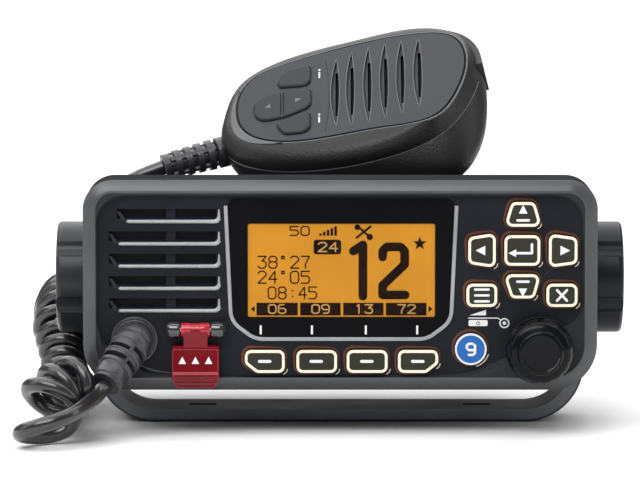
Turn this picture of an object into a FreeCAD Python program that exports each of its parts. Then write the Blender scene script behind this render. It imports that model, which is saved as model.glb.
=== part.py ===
"""VHF marine radio on its U bracket, with a curly-cord handset lying on the case.

Millimetres. X runs to the right, Y away from the user, Z up. The origin is the middle of the
bracket foot's underside, so the table is z = 0 and the bracket's pivot axis lies above the origin.
Heights on the front panel are given from PANEL_MID, the middle of the panel.
"""
import FreeCAD
import Part
import math
import os

os.makedirs("parts", exist_ok=True)

V = FreeCAD.Vector
RUNNING = 0.05  # radial clearance of a shaft in its bore
KEY_GAP = 0.3  # clearance round a key in its window
SEAT = 0.3  # gap between soft or curved neighbours on different bodies

# ---- front panel
PANEL_WIDTH = 156.5
DRAWN_WIDTH = 156.5  # the panel width that the places on the panel are drawn for
SPREAD = PANEL_WIDTH / DRAWN_WIDTH
PANEL_BOTTOM = 13.8
PANEL_TOP = 77.9
PANEL_MID = 46.9
PANEL_FRONT = -42.5
PANEL_DEPTH = 22.0
TOP_CORNER = 9.0
BOTTOM_CORNER = 14.0
SHELL_WALL = 2.4
BEVEL_INSET = 3.2  # the bezel slopes back from its inner edge to the panel's side
BEVEL_DEPTH = 1.5
RECESS = 1.9
FASCIA_THICK = 2.0
FASCIA_LIP = 1.2  # how far the fascia reaches behind the bezel
FASCIA_FRONT = PANEL_FRONT + RECESS
FASCIA_BACK = FASCIA_FRONT + FASCIA_THICK
PANEL_BACK = PANEL_FRONT + PANEL_DEPTH
HALF_PANEL = PANEL_WIDTH / 2
# recess outline at the front plane: x, height above PANEL_MID, corner radius
RECESS_OUTLINE = [(x * SPREAD, up, radius) for x, up, radius in (
    (-74.3, 26.7, 9.0), (74.3, 26.7, 9.0), (74.3, -12.3, 8.0), (52.0, -25.6, 12.0),
    (38.0, -29.2, 20.0), (-20.0, -30.6, 30.0), (-58.0, -28.3, 12.0), (-72.2, -20.5, 6.0),
    (-74.3, -12.0, 8.0))]
# the same outline where it meets the fascia: the lower wall slopes, more so to the right
RECESS_FLOOR = [(x * SPREAD, up, radius) for x, up, radius in (
    (-73.7, 26.1, 8.5), (73.6, 26.1, 8.5), (73.6, -10.9, 7.5), (50.6, -23.4, 11.0),
    (37.0, -28.3, 19.0), (-20.0, -29.7, 29.0), (-57.6, -27.5, 11.0), (-71.5, -19.8, 5.5),
    (-73.7, -11.6, 7.5))]

# ---- display
WINDOW_OUTLINE = [(x * SPREAD, up, radius) for x, up, radius in (
    (-34.4, 25.3, 2.5), (34.9, 25.3, 2.5), (33.2, -11.8, 6.0), (26.3, -17.0, 7.0),
    (-25.8, -17.0, 7.0), (-32.7, -11.8, 6.0))]
TRIM_WIDTH = 1.1
TRIM_TOP = 23.2
TRIM_PROUD = 0.5
WINDOW_THICK = 1.5
WINDOW_PROUD = 0.3
LCD_LEFT = -30.5 * SPREAD
LCD_RIGHT = 31.2 * SPREAD
LCD_TOP = 20.0
LCD_BOTTOM = -13.0
LCD_FRONT = FASCIA_FRONT - WINDOW_PROUD + WINDOW_THICK + 0.1

# ---- keys: outline corners, height above PANEL_MID
KEY_PROUD = 2.0
KEY_CORNER = 1.3
KEY_TRAVEL = 0.8
KEY_FLANGE = 0.8
KEY_FLANGE_THICK = 0.8
DRAWN_KEYS = {
    "key_up": [(49.8, 17.0), (61.2, 17.0), (59.0, 24.4), (52.0, 24.4)],
    "key_down": [(52.0, -4.9), (59.0, -4.9), (61.0, 2.4), (49.6, 2.4)],
    "key_left": [(38.9, 5.7), (47.2, 4.4), (47.2, 15.0), (38.9, 13.7)],
    "key_right": [(63.4, 4.5), (72.0, 5.7), (72.0, 13.6), (63.4, 14.8)],
    "key_enter": [(49.9, 5.1), (60.7, 5.1), (60.7, 14.3), (49.9, 14.3)],
    "key_menu": [(38.4, -7.5), (47.7, -7.5), (47.7, -0.5), (38.4, -0.5)],
    "key_clear": [(62.7, -7.5), (72.1, -7.5), (72.1, -0.5), (62.7, -0.5)],
    "soft_key_1": [(-25.4, -27.7), (-16.9, -27.7), (-16.9, -20.8), (-29.0, -20.8), (-29.0, -24.9)],
    "soft_key_2": [(-13.3, -27.7), (-1.0, -27.7), (-1.0, -20.8), (-13.3, -20.8)],
    "soft_key_3": [(2.0, -27.7), (14.4, -27.7), (14.4, -20.8), (2.0, -20.8)],
    "soft_key_4": [(17.6, -27.7), (26.2, -27.7), (29.8, -24.9), (29.8, -20.8), (17.6, -20.8)],
}
KEY_OUTLINES = {name: [(x * SPREAD, up) for x, up in corners] for name, corners in DRAWN_KEYS.items()}
CHANNEL_KEY_X = 39.75 * SPREAD
CHANNEL_KEY_UP = -20.5
CHANNEL_KEY_R = 4.8

# ---- control board stack behind the fascia
KEY_BACK = FASCIA_BACK + 0.1 + KEY_FLANGE_THICK
MAT_FRONT = KEY_BACK + KEY_TRAVEL + 0.1
MAT_THICK = 1.4
BOARD_FRONT = MAT_FRONT + MAT_THICK
BOARD_THICK = 1.6
BOARD_BACK = BOARD_FRONT + BOARD_THICK
MAT_LEFT = 36.0 * SPREAD
MAT_RIGHT = 72.2 * SPREAD
MAT_BOTTOM = -28.8
MAT_TOP = 25.6
MAT_SOFT_LEFT = -30.6 * SPREAD
MAT_SOFT_TOP = -19.6

# ---- rotary control
KNOB_X = 60.6 * SPREAD
KNOB_UP = -20.5
KNOB_R = 10.3
KNOB_CAP_R = 6.4
KNOB_GAP = 0.5
KNOB_LENGTH = 10.6
SHAFT_R = 1.5
SHAFT_TRAVEL = 0.5
BUSH_R = 3.5
ENCODER_SIZE = 12.0

# ---- distress key
DISTRESS_X = -44.0 * SPREAD
HINGE_Y = -43.0
HINGE_UP = -14.5
HINGE_PIN_R = 0.7
HINGE_BARREL_R = 2.2
LUG_R = 2.4
LUG_INNER = 4.7
LUG_OUTER = 8.8
COVER_HALF = 7.2
COVER_TOP = -19.2
COVER_BOTTOM = -32.3
COVER_BACK = PANEL_FRONT - SEAT
COVER_THICK = 2.6
COVER_WALL = 1.1
BUTTON_HALF = 5.4
BUTTON_TOP = -20.8
BUTTON_BOTTOM = -26.6

# ---- loudspeaker and louvres
LOUVRES = 5
LOUVRE_PITCH = 6.83
LOUVRE_TOP = 22.2
LOUVRE_SLOT = 1.9
LOUVRE_LIP_TOP = 18.95
LOUVRE_LIP = 1.1
LOUVRE_LEFT = -70.4 * SPREAD
LOUVRE_LEFT_FIRST = -67.9 * SPREAD
LOUVRE_RIGHT = -37.6 * SPREAD
LOUVRE_RIB_LEFT = -53.0 * SPREAD
LOUVRE_RIB_RIGHT = -50.1 * SPREAD
LIP_PROUD = 0.6
LIP_START = 2.9  # how far a lip starts to the right of its slot
SPEAKER_X = -54.0 * SPREAD
SPEAKER_UP = 6.5
SPEAKER_R = 18.0
SPEAKER_DEPTH = 9.0
SPEAKER_FLANGE = 1.2
CONE_R = 15.0
MAGNET_R = 11.0
MAGNET_DEPTH = 5.0
GAUZE_THICK = 0.3

# ---- rear case
CASE_INSET = 12.25  # how far the case's sides lie inside the panel's
CASE_HALF = HALF_PANEL - CASE_INSET
CASE_BOTTOM = 20.0
CASE_TOP = 68.0
CASE_BACK = 50.0
CASE_WALL = 2.4
CASE_EDGE = 5.0
CASE_FLANGE = 2.0
FIN_DEPTH = 8.0
FIN_THICK = 1.6
FIN_COUNT = 13
SEAL_THICK = 1.0
SEAL_WIDTH = 2.0
FLANGE_GAP = 0.1
CASE_SCREW_X = HALF_PANEL - 5.25
CASE_SCREW_UP = [23.2, -20.0]
SCREW_HEAD_R = 2.4
SCREW_HEAD = 1.6
SCREW_R = 1.4
SCREW_LENGTH = 9.0
BOSS_R = 3.4
PCB_BOTTOM = 30.0
PCB_THICK = 1.6
PCB_HALF = CASE_HALF - 8.0
PCB_FRONT = -12.0
PCB_BACK = 40.0
POST_R = 3.0
POST_X = PCB_HALF - 6.0
INSERT_DEPTH = 7.0  # how deep a pivot insert sits in the case's side
INSERT_BOSS = 9.0
POST_YS = [-6.0, 34.0]
SHIELD_LEFT = 14.0 - PCB_HALF
SHIELD_FRONT = PCB_FRONT + 4.0
SHIELD_WIDTH = 48.0
SHIELD_DEPTH = 46.0
SHIELD_HEIGHT = 12.0
SHIELD_WALL = 0.8
MODULE_RIGHT = PCB_HALF - 18.0
MODULE_WIDTH = 28.0
MODULE_FRONT = 22.0
MODULE_DEPTH = 22.0
MODULE_HEIGHT = 7.0
MODULE_TAB_LOW = 4.0
MODULE_TAB = 2.0
ANTENNA_X = CASE_HALF - 20.0
ANTENNA_Z = 47.5
ANTENNA_R = 7.9
ANTENNA_LENGTH = 15.0
ANTENNA_FLANGE = 2.2
ANTENNA_HALF = 12.7
ANTENNA_WALL = 1.6
ANTENNA_TAIL = 6.0
CONTACT_R = 2.4
CONTACT_BORE_R = 1.9
FIN_LEFT = 6.0 - CASE_HALF
FIN_RIGHT = ANTENNA_X - 28.0
FIN_PITCH = (FIN_RIGHT - FIN_LEFT) / (FIN_COUNT - 1)
GLAND_XS = [ANTENNA_X - 8.0, ANTENNA_X + 8.0]
GLAND_Z = 27.0
GLAND_R = 4.5
GLAND_LENGTH = 9.0
GLAND_HOLE_R = 2.2

# ---- bracket, pivot and clamp knobs
PIVOT_Z = 44.2
ARM_ROOM = 10.0  # from the case's side to the bracket's outer face
BRACKET_HALF = CASE_HALF + ARM_ROOM
BRACKET_THICK = 4.0
BRACKET_DEPTH = 24.6
BRACKET_CORNER = 18.5
BRACKET_TOP_R = 12.3
FOOT_EDGE = 1.2
SLOT_X = 43.0
SLOT_LENGTH = 9.0
SLOT_R = 2.25
STUD_R = 2.5
ARM_HOLE_R = 2.8
INSERT_R = 4.0
PIVOT_BOSS_R = 11.0
WASHER_R = 7.0
WASHER_THICK = 0.8
CLAMP_R = 17.5
CLAMP_THICK = 10.8
CLAMP_LOBES = 6
CLAMP_GROOVE_R = 4.2
CLAMP_GROOVE_AT = 20.4
CLAMP_SEAT = 0.4  # gap between a washer and its clamp knob
CLAMP_FACE = BRACKET_HALF + WASHER_THICK + CLAMP_SEAT + CLAMP_THICK
CLAMP_SKIN = 3.0  # knob left outside the end of its stud
CLAMP_EDGE = 1.6

# ---- front cord boot
BOOT_X = -62.6
BOOT_UP = -17.7
BOOT_BASE_R = 7.2
BOOT_BASE_THICK = 3.4
BOOT_END = V(-70.7, -56.0, 17.5)
BOOT_R = 6.2
BOOT_END_R = 4.3
BOOT_PLUG_R = 4.0

# ---- cord: routes are lists of points chosen by hand
CORD_R = 2.35
COIL_R = 11.0
FRONT_LEAD = [
    BOOT_END, V(-72.725, -59.0, 14.575), V(-75.9, -66.2, 12.9), V(-79.4, -73.4, 10.9),
    V(-84.5, -77.6, 9.2), V(-89.9, -78.3, 7.6), V(-94.5, -76.0, 6.4), V(-96.1, -71.8, 4.9),
    V(-94.8, -67.9, 3.8), V(-91.2, -65.5, 3.1), V(-87.1, -65.6, 3.5), V(-84.0, -65.9, 5.5),
    V(-81.5, -64.3, 7.4), V(-80.09, -61.75, 8.53), V(-79.92, -58.43, 8.5)]
COIL_ROUTE = [
    V(-88.0, -58.0, 11.3), V(-86.8, -34.0, 11.1), V(-88.0, 4.0, 11.4), V(-86.2, 33.0, 18.0),
    V(-83.0, 50.5, 29.0), V(-81.6, 55.8, 47.0)]
MIC_LEAD = [
    V(-81.6, 55.8, 47.0), V(-81.18, 57.39, 52.4), V(-80.7, 56.4, 59.6), V(-80.2, 52.0, 65.6),
    V(-79.6, 45.0, 69.3), V(-78.9, 36.0, 69.5), V(-77.8, 26.5, 69.6), V(-74.6, 19.2, 70.4),
    V(-69.0, 14.2, 72.4), V(-62.15, 12.67, 75.42), V(-55.6, 14.2, 77.4)]

# ---- handset: local l along its length, w across it to the far side, n out of its face
MIC_CENTRE = V(5.8, 12.0, 97.1)
MIC_YAW = -10.0
MIC_PITCH = 13.8
MIC_ROLL = 36.0
# outlines in l, w of the face's edge, the seam between the shells, and the widest part under it
MIC_FACE_EDGE = [
    (-38.0, 1.0), (-34.6, -9.5), (-26.5, -16.4), (-9.0, -21.0), (10.0, -22.6), (28.0, -22.0),
    (34.2, -12.5), (37.2, 0.5), (33.0, 15.0), (21.0, 20.6), (0.0, 22.4), (-20.0, 21.2), (-33.2, 17.0)]
MIC_SEAM = [
    (-44.3, 1.0), (-41.5, -12.0), (-31.0, -21.0), (-11.0, -28.0), (9.5, -29.3), (27.5, -23.5),
    (36.5, -11.0), (39.8, 3.0), (35.5, 18.0), (22.0, 27.0), (0.0, 28.6), (-22.0, 27.4), (-37.5, 20.5)]
MIC_BELLY = [
    (-43.2, 1.0), (-40.5, -11.0), (-31.0, -20.0), (-11.0, -28.0), (10.0, -31.5), (30.0, -30.0),
    (37.8, -17.0), (39.2, -2.0), (35.0, 16.5), (22.0, 26.0), (0.0, 27.5), (-22.0, 26.2), (-36.5, 19.5)]
MIC_FACE_UP = 6.8
MIC_RIM_UP = 4.0
MIC_RIM_INSET = 0.9
MIC_BELLY_DOWN = 10.0
MIC_BACK_DOWN = 18.9
MIC_BACK_INSET = 11.5
MIC_WALL = 2.0
MIC_BOOT_END = MIC_LEAD[-1]
MIC_BOOT_R = 4.9
MIC_BOOT_END_R = 4.2
MIC_BOOT_LENGTH = 27.5
MIC_KEYS = {
    "mic_key_high": [(-24.0, 8.9), (-13.8, 6.0), (-13.8, 17.0), (-21.0, 16.2)],
    "mic_key_rocker": [(-31.4, -2.6), (-28.0, -7.4), (-13.8, -4.7), (-13.8, 4.7), (-28.0, 7.3),
                       (-31.4, 4.6)],
    "mic_key_low": [(-21.5, -14.6), (-13.8, -16.6), (-13.8, -6.0), (-24.4, -9.0)],
}
MIC_KEY_PROUD = 0.9
MIC_KEY_BOTTOM = 3.3
MIC_KEY_TRAVEL = 0.6
MIC_SLOT_LS = [-5.0, 0.0, 5.6, 11.0, 16.4, 22.0]
MIC_SLOT_HALF = [17.0, 18.6, 19.2, 19.2, 18.8, 17.6]
MIC_SLOT_WIDTH = 1.2
MIC_SLOT_SHARE = 0.66  # a slit's length, as a share of the shallow lens it lies in
MIC_LENS_HALF = 1.9
MIC_LENS_DEPTH = 0.8
MIC_BOARD = (-30.0, 26.0, 14.0)  # its two ends, and half its width
MIC_BOARD_BACK = -1.3
MIC_BOARD_FACE = 0.3
MIC_PAD = (-29.0, -12.5, -13.5, 14.0)
MIC_BOOT_SEAT = 18.0  # room for the boot inside the shells
MIC_POST_R = 3.0
MIC_SCREW_R = 1.5
MIC_SCREW_DEPTH = 7.0
MIC_BEYOND = 60.0  # well past the handset's side
PTT_START = -14.0
PTT_UP = 2.0
PTT_DOWN = -9.0
PTT_INNER = 21.0
PTT_WRAP_L = 33.0  # the bar's end wraps round the corner of the handset from here
PTT_WRAP_W = 4.0
PTT_PROUD = 1.5
PTT_TRAVEL = 1.5
PTT_ROOM = 0.4
CAPSULE_L = 8.0
CAPSULE_R = 6.5
CAPSULE_DEPTH = 3.6
HANGER_R = 6.0
HANGER_HEAD = 2.0
HANGER_NECK = 2.5
HANGER_NECK_R = 3.5


# ---------------------------------------------------------------- helpers
def save(name, shape):
    shape.exportStep("parts/" + name + ".step")


def fuse(pieces):
    whole = pieces[0]
    for piece in pieces[1:]:
        whole = whole.fuse(piece)
    return whole.removeSplitter()


def rounded(points, radii):
    """A closed wire through the points, with each corner rounded by its radius."""
    edges = []
    ends = []
    count = len(points)
    for i in range(count):
        corner = points[i]
        back = (points[i - 1] - corner).normalize()
        ahead = (points[(i + 1) % count] - corner).normalize()
        half = back.getAngle(ahead) / 2
        radius = radii[i]
        if radius == 0:
            ends.append((corner, corner))
            continue
        cut = radius / math.tan(half)
        start = corner + back * cut
        end = corner + ahead * cut
        middle = corner + (back + ahead).normalize() * (radius / math.sin(half) - radius)
        edges.append(Part.Arc(start, middle, end).toShape())
        ends.append((start, end))
    for i in range(count):
        line_start = ends[i - 1][1]
        line_end = ends[i][0]
        if line_start.distanceToPoint(line_end) > 0.001:
            edges.append(Part.LineSegment(line_start, line_end).toShape())
    return Part.Wire(Part.__sortEdges__(edges))


def panel_wire(outline, y):
    """A wire in the panel's plane from (x, height above the panel's middle, radius) corners."""
    points = [V(x, y, PANEL_MID + up) for x, up, radius in outline]
    return rounded(points, [radius for x, up, radius in outline])


def panel_slab(outline, front, back, grow=0.0):
    """A plate with that outline, from y = front to y = back."""
    face = Part.Face(panel_wire(outline, front))
    if grow:
        face = face.makeOffset2D(grow)
    return face.extrude(V(0, back - front, 0))


def with_radius(corners, radius):
    return [(x, up, radius) for x, up in corners]


def box(x0, x1, y0, y1, z0, z1):
    return Part.makeBox(x1 - x0, y1 - y0, z1 - z0, V(x0, y0, z0))


def panel_box(x0, x1, y0, y1, low, high):
    """A box whose heights are given from the panel's middle."""
    return box(x0, x1, y0, y1, PANEL_MID + low, PANEL_MID + high)


def rod(start, direction, radius, length):
    return Part.makeCylinder(radius, length, start, direction)


def panel_rod(x, up, radius, front, back):
    """A round rod along Y through a place on the panel."""
    return rod(V(x, front, PANEL_MID + up), V(0, 1, 0), radius, back - front)


def housing_outline(inset=0.0):
    """The panel's outer outline, or the same drawn in by inset."""
    low = PANEL_BOTTOM - PANEL_MID + inset
    high = PANEL_TOP - PANEL_MID - inset
    side = HALF_PANEL - inset
    return [
        (-side, high, TOP_CORNER - inset), (side, high, TOP_CORNER - inset),
        (side, low, BOTTOM_CORNER - inset), (-side, low, BOTTOM_CORNER - inset)]


def case_screw_places():
    return [(side * CASE_SCREW_X, up) for side in (-1, 1) for up in CASE_SCREW_UP]


# ---------------------------------------------------------------- front panel
def front_housing():
    shoulder = PANEL_FRONT + BEVEL_DEPTH
    bevel = Part.makeLoft(
        [panel_wire(housing_outline(BEVEL_INSET), PANEL_FRONT), panel_wire(housing_outline(), shoulder)],
        True, True)
    outer = bevel.fuse(panel_slab(housing_outline(), shoulder, PANEL_BACK))
    inside = panel_slab(housing_outline(SHELL_WALL), FASCIA_FRONT, PANEL_BACK + 1)
    opening = Part.makeLoft(
        [panel_wire(RECESS_OUTLINE, PANEL_FRONT), panel_wire(RECESS_FLOOR, FASCIA_FRONT)], True, True)
    shell = outer.cut(inside).cut(opening)
    shell = shell.cut(panel_rod(KNOB_X, KNOB_UP, BUSH_R, PANEL_FRONT - 1, FASCIA_FRONT + 1))
    for x, up in case_screw_places():
        boss = panel_rod(x, up, BOSS_R, FASCIA_BACK, seal_front())
        boss = boss.common(panel_slab(housing_outline(SHELL_WALL - 0.5), FASCIA_BACK, PANEL_BACK))
        boss = boss.cut(panel_rod(x, up, SCREW_R, seal_front() - SCREW_LENGTH, PANEL_BACK))
        shell = shell.fuse(boss)
    return shell.removeSplitter()


def key_hole(name):
    outline = with_radius(KEY_OUTLINES[name], KEY_CORNER)
    return panel_slab(outline, FASCIA_FRONT - 1, FASCIA_BACK + 1, KEY_GAP)


def around_bosses(shape):
    """The shape, cut clear of the bosses that take the case screws."""
    for x, up in case_screw_places():
        shape = shape.cut(panel_rod(x, up, BOSS_R + KEY_GAP, PANEL_FRONT, PANEL_BACK))
    return shape


def louvre_left(index):
    return LOUVRE_LEFT_FIRST if index == 0 else LOUVRE_LEFT


def louvre_cut(index):
    """A slot whose floor slopes down and forward to the lip."""
    top = PANEL_MID + LOUVRE_TOP - index * LOUVRE_PITCH
    lip = PANEL_MID + LOUVRE_LIP_TOP - index * LOUVRE_PITCH
    left = louvre_left(index)
    front = FASCIA_FRONT - 0.2
    back = FASCIA_BACK + 0.2
    profile = Part.makePolygon([
        V(left, front, top), V(left, back, top), V(left, back, top - LOUVRE_SLOT),
        V(left, front, lip), V(left, front, top)])
    cut = Part.Face(profile).extrude(V(LOUVRE_RIGHT - left, 0, 0))
    rib = box(LOUVRE_RIB_LEFT, LOUVRE_RIB_RIGHT, FASCIA_FRONT + 0.8, back, lip, top)
    return cut.cut(rib)


def trim_region(front, back):
    """The U-shaped strip round the window's sides and bottom."""
    ring = panel_slab(WINDOW_OUTLINE, front, back, TRIM_WIDTH)
    ring = ring.cut(panel_slab(WINDOW_OUTLINE, front - 1, back + 1))
    reach = HALF_PANEL
    return ring.cut(panel_box(-reach, reach, front - 1, back + 1, TRIM_TOP, PANEL_TOP))


def distress_lugs():
    lugs = []
    height = V(0, 0, PANEL_MID + HINGE_UP)
    for side in (-1, 1):
        start = DISTRESS_X + side * LUG_INNER
        lug = rod(V(start, HINGE_Y, 0) + height, V(side, 0, 0), LUG_R, LUG_OUTER - LUG_INNER)
        low = min(start, DISTRESS_X + side * LUG_OUTER)
        high = max(start, DISTRESS_X + side * LUG_OUTER)
        web = panel_box(low, high, HINGE_Y, FASCIA_FRONT, HINGE_UP - LUG_R * 0.8, HINGE_UP + LUG_R * 0.8)
        lugs.append(lug.fuse(web))
    return lugs


def hinge_bore(radius):
    start = V(DISTRESS_X - LUG_OUTER - 1, HINGE_Y, PANEL_MID + HINGE_UP)
    return rod(start, V(1, 0, 0), radius, 2 * LUG_OUTER + 2)


def fascia():
    plate = panel_slab(RECESS_FLOOR, FASCIA_FRONT, FASCIA_BACK, FASCIA_LIP)
    plate = plate.common(panel_slab(housing_outline(SHELL_WALL), FASCIA_FRONT, FASCIA_BACK))
    plate = plate.cut(panel_slab(WINDOW_OUTLINE, FASCIA_FRONT - 1, FASCIA_BACK + 1))
    plate = plate.cut(trim_region(FASCIA_FRONT - 1, FASCIA_BACK + 1))
    for name in KEY_OUTLINES:
        plate = plate.cut(key_hole(name))
    plate = plate.cut(panel_rod(
        CHANNEL_KEY_X, CHANNEL_KEY_UP, CHANNEL_KEY_R + KEY_GAP, FASCIA_FRONT - 1, FASCIA_BACK + 1))
    plate = plate.cut(panel_rod(KNOB_X, KNOB_UP, BUSH_R, FASCIA_FRONT - 1, FASCIA_BACK + 1))
    plate = plate.cut(panel_rod(BOOT_X, BOOT_UP, BOOT_PLUG_R, FASCIA_FRONT - 1, FASCIA_BACK + 1))
    plate = plate.cut(panel_slab(distress_button_outline(), FASCIA_FRONT - 1, FASCIA_BACK + 1, KEY_GAP))
    for index in range(LOUVRES):
        plate = plate.cut(louvre_cut(index))
    for lug in distress_lugs():
        plate = plate.fuse(lug)
    return plate.cut(hinge_bore(HINGE_PIN_R + 0.01)).removeSplitter()


def grille_trim():
    """A bright lip under each louvre, turned up at its right end."""
    lips = []
    for index in range(LOUVRES):
        high = LOUVRE_LIP_TOP - index * LOUVRE_PITCH
        left = louvre_left(index) + LIP_START
        right = LOUVRE_RIGHT + LOUVRE_LIP
        front = FASCIA_FRONT - LIP_PROUD
        lip = panel_box(left, right, front, FASCIA_FRONT, high - LOUVRE_LIP, high)
        end = panel_box(LOUVRE_RIGHT + 0.1, right, front, FASCIA_FRONT, high - LOUVRE_LIP,
                        LOUVRE_TOP - index * LOUVRE_PITCH)
        floor = LOUVRE_TOP - LOUVRE_SLOT + 1.0 - index * LOUVRE_PITCH
        start = louvre_left(index)
        stub = panel_slab(with_radius([
            (left + 0.3, high), (left + 0.3, high - LOUVRE_LIP), (left - 0.6, high - LOUVRE_LIP),
            (start + 0.4, floor), (start + 1.3, floor)], 0), front, FASCIA_FRONT)
        lips.append(fuse([lip, end, stub]))
    return Part.makeCompound(lips)


def display_window():
    front = FASCIA_FRONT - WINDOW_PROUD
    return panel_slab(WINDOW_OUTLINE, front, front + WINDOW_THICK)


def display_trim():
    return trim_region(FASCIA_FRONT - TRIM_PROUD, FASCIA_BACK)


def lcd_module():
    return panel_box(LCD_LEFT, LCD_RIGHT, LCD_FRONT, BOARD_FRONT, LCD_BOTTOM, LCD_TOP)


# ---------------------------------------------------------------- keys and controls
def key(outline):
    """A key cap with the flange that holds it behind the fascia."""
    cap = panel_slab(outline, FASCIA_FRONT - KEY_PROUD, KEY_BACK)
    rim = [e for e in cap.Edges if e.BoundBox.YMax < FASCIA_FRONT - KEY_PROUD + 0.01]
    cap = cap.makeFillet(0.5, rim)
    flange = panel_slab(outline, FASCIA_BACK + 0.1, KEY_BACK, KEY_GAP + KEY_FLANGE)
    return cap.fuse(flange).removeSplitter()


def channel_key():
    cap = panel_rod(CHANNEL_KEY_X, CHANNEL_KEY_UP, CHANNEL_KEY_R, FASCIA_FRONT - KEY_PROUD, KEY_BACK)
    rim = [e for e in cap.Edges if e.BoundBox.YMax < FASCIA_FRONT - KEY_PROUD + 0.01]
    cap = cap.makeFillet(0.7, rim)
    flange_r = CHANNEL_KEY_R + KEY_GAP + KEY_FLANGE
    flange = panel_rod(CHANNEL_KEY_X, CHANNEL_KEY_UP, flange_r, FASCIA_BACK + 0.1, KEY_BACK)
    return cap.fuse(flange).removeSplitter()


def encoder_hole(grow):
    """The square well that the encoder's body fills in the mat."""
    half = ENCODER_SIZE / 2 + grow
    return panel_box(
        KNOB_X - half, KNOB_X + half, FASCIA_BACK - 1, BOARD_FRONT, KNOB_UP - half, KNOB_UP + half)


def keypad_mat():
    mat = panel_box(MAT_LEFT, MAT_RIGHT, MAT_FRONT, BOARD_FRONT, MAT_BOTTOM, MAT_TOP)
    soft = panel_box(MAT_SOFT_LEFT, MAT_LEFT, MAT_FRONT, BOARD_FRONT, MAT_BOTTOM, MAT_SOFT_TOP)
    mat = mat.fuse(soft).common(panel_slab(RECESS_FLOOR, MAT_FRONT, BOARD_FRONT))
    return around_bosses(mat).cut(encoder_hole(0.5)).removeSplitter()


def control_board():
    board = panel_box(MAT_SOFT_LEFT, MAT_RIGHT, BOARD_FRONT, BOARD_BACK, MAT_BOTTOM, MAT_TOP)
    return around_bosses(board.common(panel_slab(RECESS_FLOOR, BOARD_FRONT, BOARD_BACK)))


def encoder_body():
    half = ENCODER_SIZE / 2
    body = panel_box(
        KNOB_X - half, KNOB_X + half, FASCIA_BACK, BOARD_FRONT, KNOB_UP - half, KNOB_UP + half)
    bush = panel_rod(KNOB_X, KNOB_UP, BUSH_R, PANEL_FRONT, FASCIA_BACK)
    bore_end = BOARD_FRONT - 0.8
    bore = panel_rod(KNOB_X, KNOB_UP, SHAFT_R + RUNNING, PANEL_FRONT, bore_end)
    return body.fuse(bush).cut(bore).removeSplitter()


def knob_back():
    return PANEL_FRONT - SHAFT_TRAVEL - KNOB_GAP + 0.2


def encoder_shaft():
    end = BOARD_FRONT - 0.8 - SHAFT_TRAVEL - 0.2
    return panel_rod(KNOB_X, KNOB_UP, SHAFT_R, knob_back() - KNOB_LENGTH + 2.5, end)


def volume_knob():
    back = knob_back()
    front = back - KNOB_LENGTH
    profile = [
        (0.0, back), (KNOB_R, back), (KNOB_R, back - 5.6), (KNOB_R - 1.0, back - 8.4),
        (KNOB_CAP_R + 0.5, back - 9.6), (KNOB_CAP_R, front + 0.6), (KNOB_CAP_R - 0.6, front),
        (0.0, front)]
    points = [V(KNOB_X + r, y, PANEL_MID + KNOB_UP) for r, y in profile]
    face = Part.Face(Part.makePolygon(points + [points[0]]))
    body = face.revolve(V(KNOB_X, 0, PANEL_MID + KNOB_UP), V(0, 1, 0), 360)
    bore = panel_rod(KNOB_X, KNOB_UP, SHAFT_R + RUNNING, front + 2.2, back + 1)
    return body.cut(bore)


def distress_button_outline():
    low, high = DISTRESS_X - BUTTON_HALF, DISTRESS_X + BUTTON_HALF
    return [(low, BUTTON_BOTTOM, 1.0), (high, BUTTON_BOTTOM, 1.0), (high, BUTTON_TOP, 1.0),
            (low, BUTTON_TOP, 1.0)]


def distress_button():
    outline = distress_button_outline()
    cap = panel_slab(outline, FASCIA_FRONT - 1.4, KEY_BACK)
    flange = panel_slab(outline, FASCIA_BACK + 0.1, KEY_BACK, KEY_GAP + KEY_FLANGE)
    return cap.fuse(flange).removeSplitter()


def distress_cover():
    front = COVER_BACK - COVER_THICK
    left, right = DISTRESS_X - COVER_HALF, DISTRESS_X + COVER_HALF
    chamfer_x, chamfer_up = 1.2, 3.4
    outline = [
        (left, COVER_TOP), (right, COVER_TOP), (right, COVER_BOTTOM + chamfer_up),
        (right - chamfer_x, COVER_BOTTOM), (left + chamfer_x, COVER_BOTTOM),
        (left, COVER_BOTTOM + chamfer_up)]
    outline = with_radius(outline, 0.6)
    tray = panel_slab(outline, front, COVER_BACK)
    tray = tray.cut(panel_slab(outline, front + COVER_WALL, COVER_BACK + 1, -COVER_WALL))
    barrel_half = LUG_INNER - SEAT
    barrel_start = V(DISTRESS_X - barrel_half, HINGE_Y, PANEL_MID + HINGE_UP)
    barrel = rod(barrel_start, V(1, 0, 0), HINGE_BARREL_R, 2 * barrel_half)
    neck_half = barrel_half - 0.8
    neck = panel_box(DISTRESS_X - neck_half, DISTRESS_X + neck_half, front, front + COVER_WALL + 0.4,
                     COVER_TOP - 0.5, HINGE_UP)
    whole = fuse([tray, barrel, neck])
    return whole.cut(hinge_bore(HINGE_PIN_R + RUNNING))


def distress_hinge_pin():
    half = LUG_OUTER - 0.4
    start = V(DISTRESS_X - half, HINGE_Y, PANEL_MID + HINGE_UP)
    return rod(start, V(1, 0, 0), HINGE_PIN_R, 2 * half)


# ---------------------------------------------------------------- loudspeaker
def speaker_gauze():
    left, right = LOUVRE_LEFT - 0.8, LOUVRE_RIGHT + 1.4
    low = LOUVRE_TOP - (LOUVRES - 1) * LOUVRE_PITCH - 4.2
    sheet = panel_box(left, right, FASCIA_BACK, FASCIA_BACK + GAUZE_THICK, low, LOUVRE_TOP + 1.0)
    return around_bosses(sheet)


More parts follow.
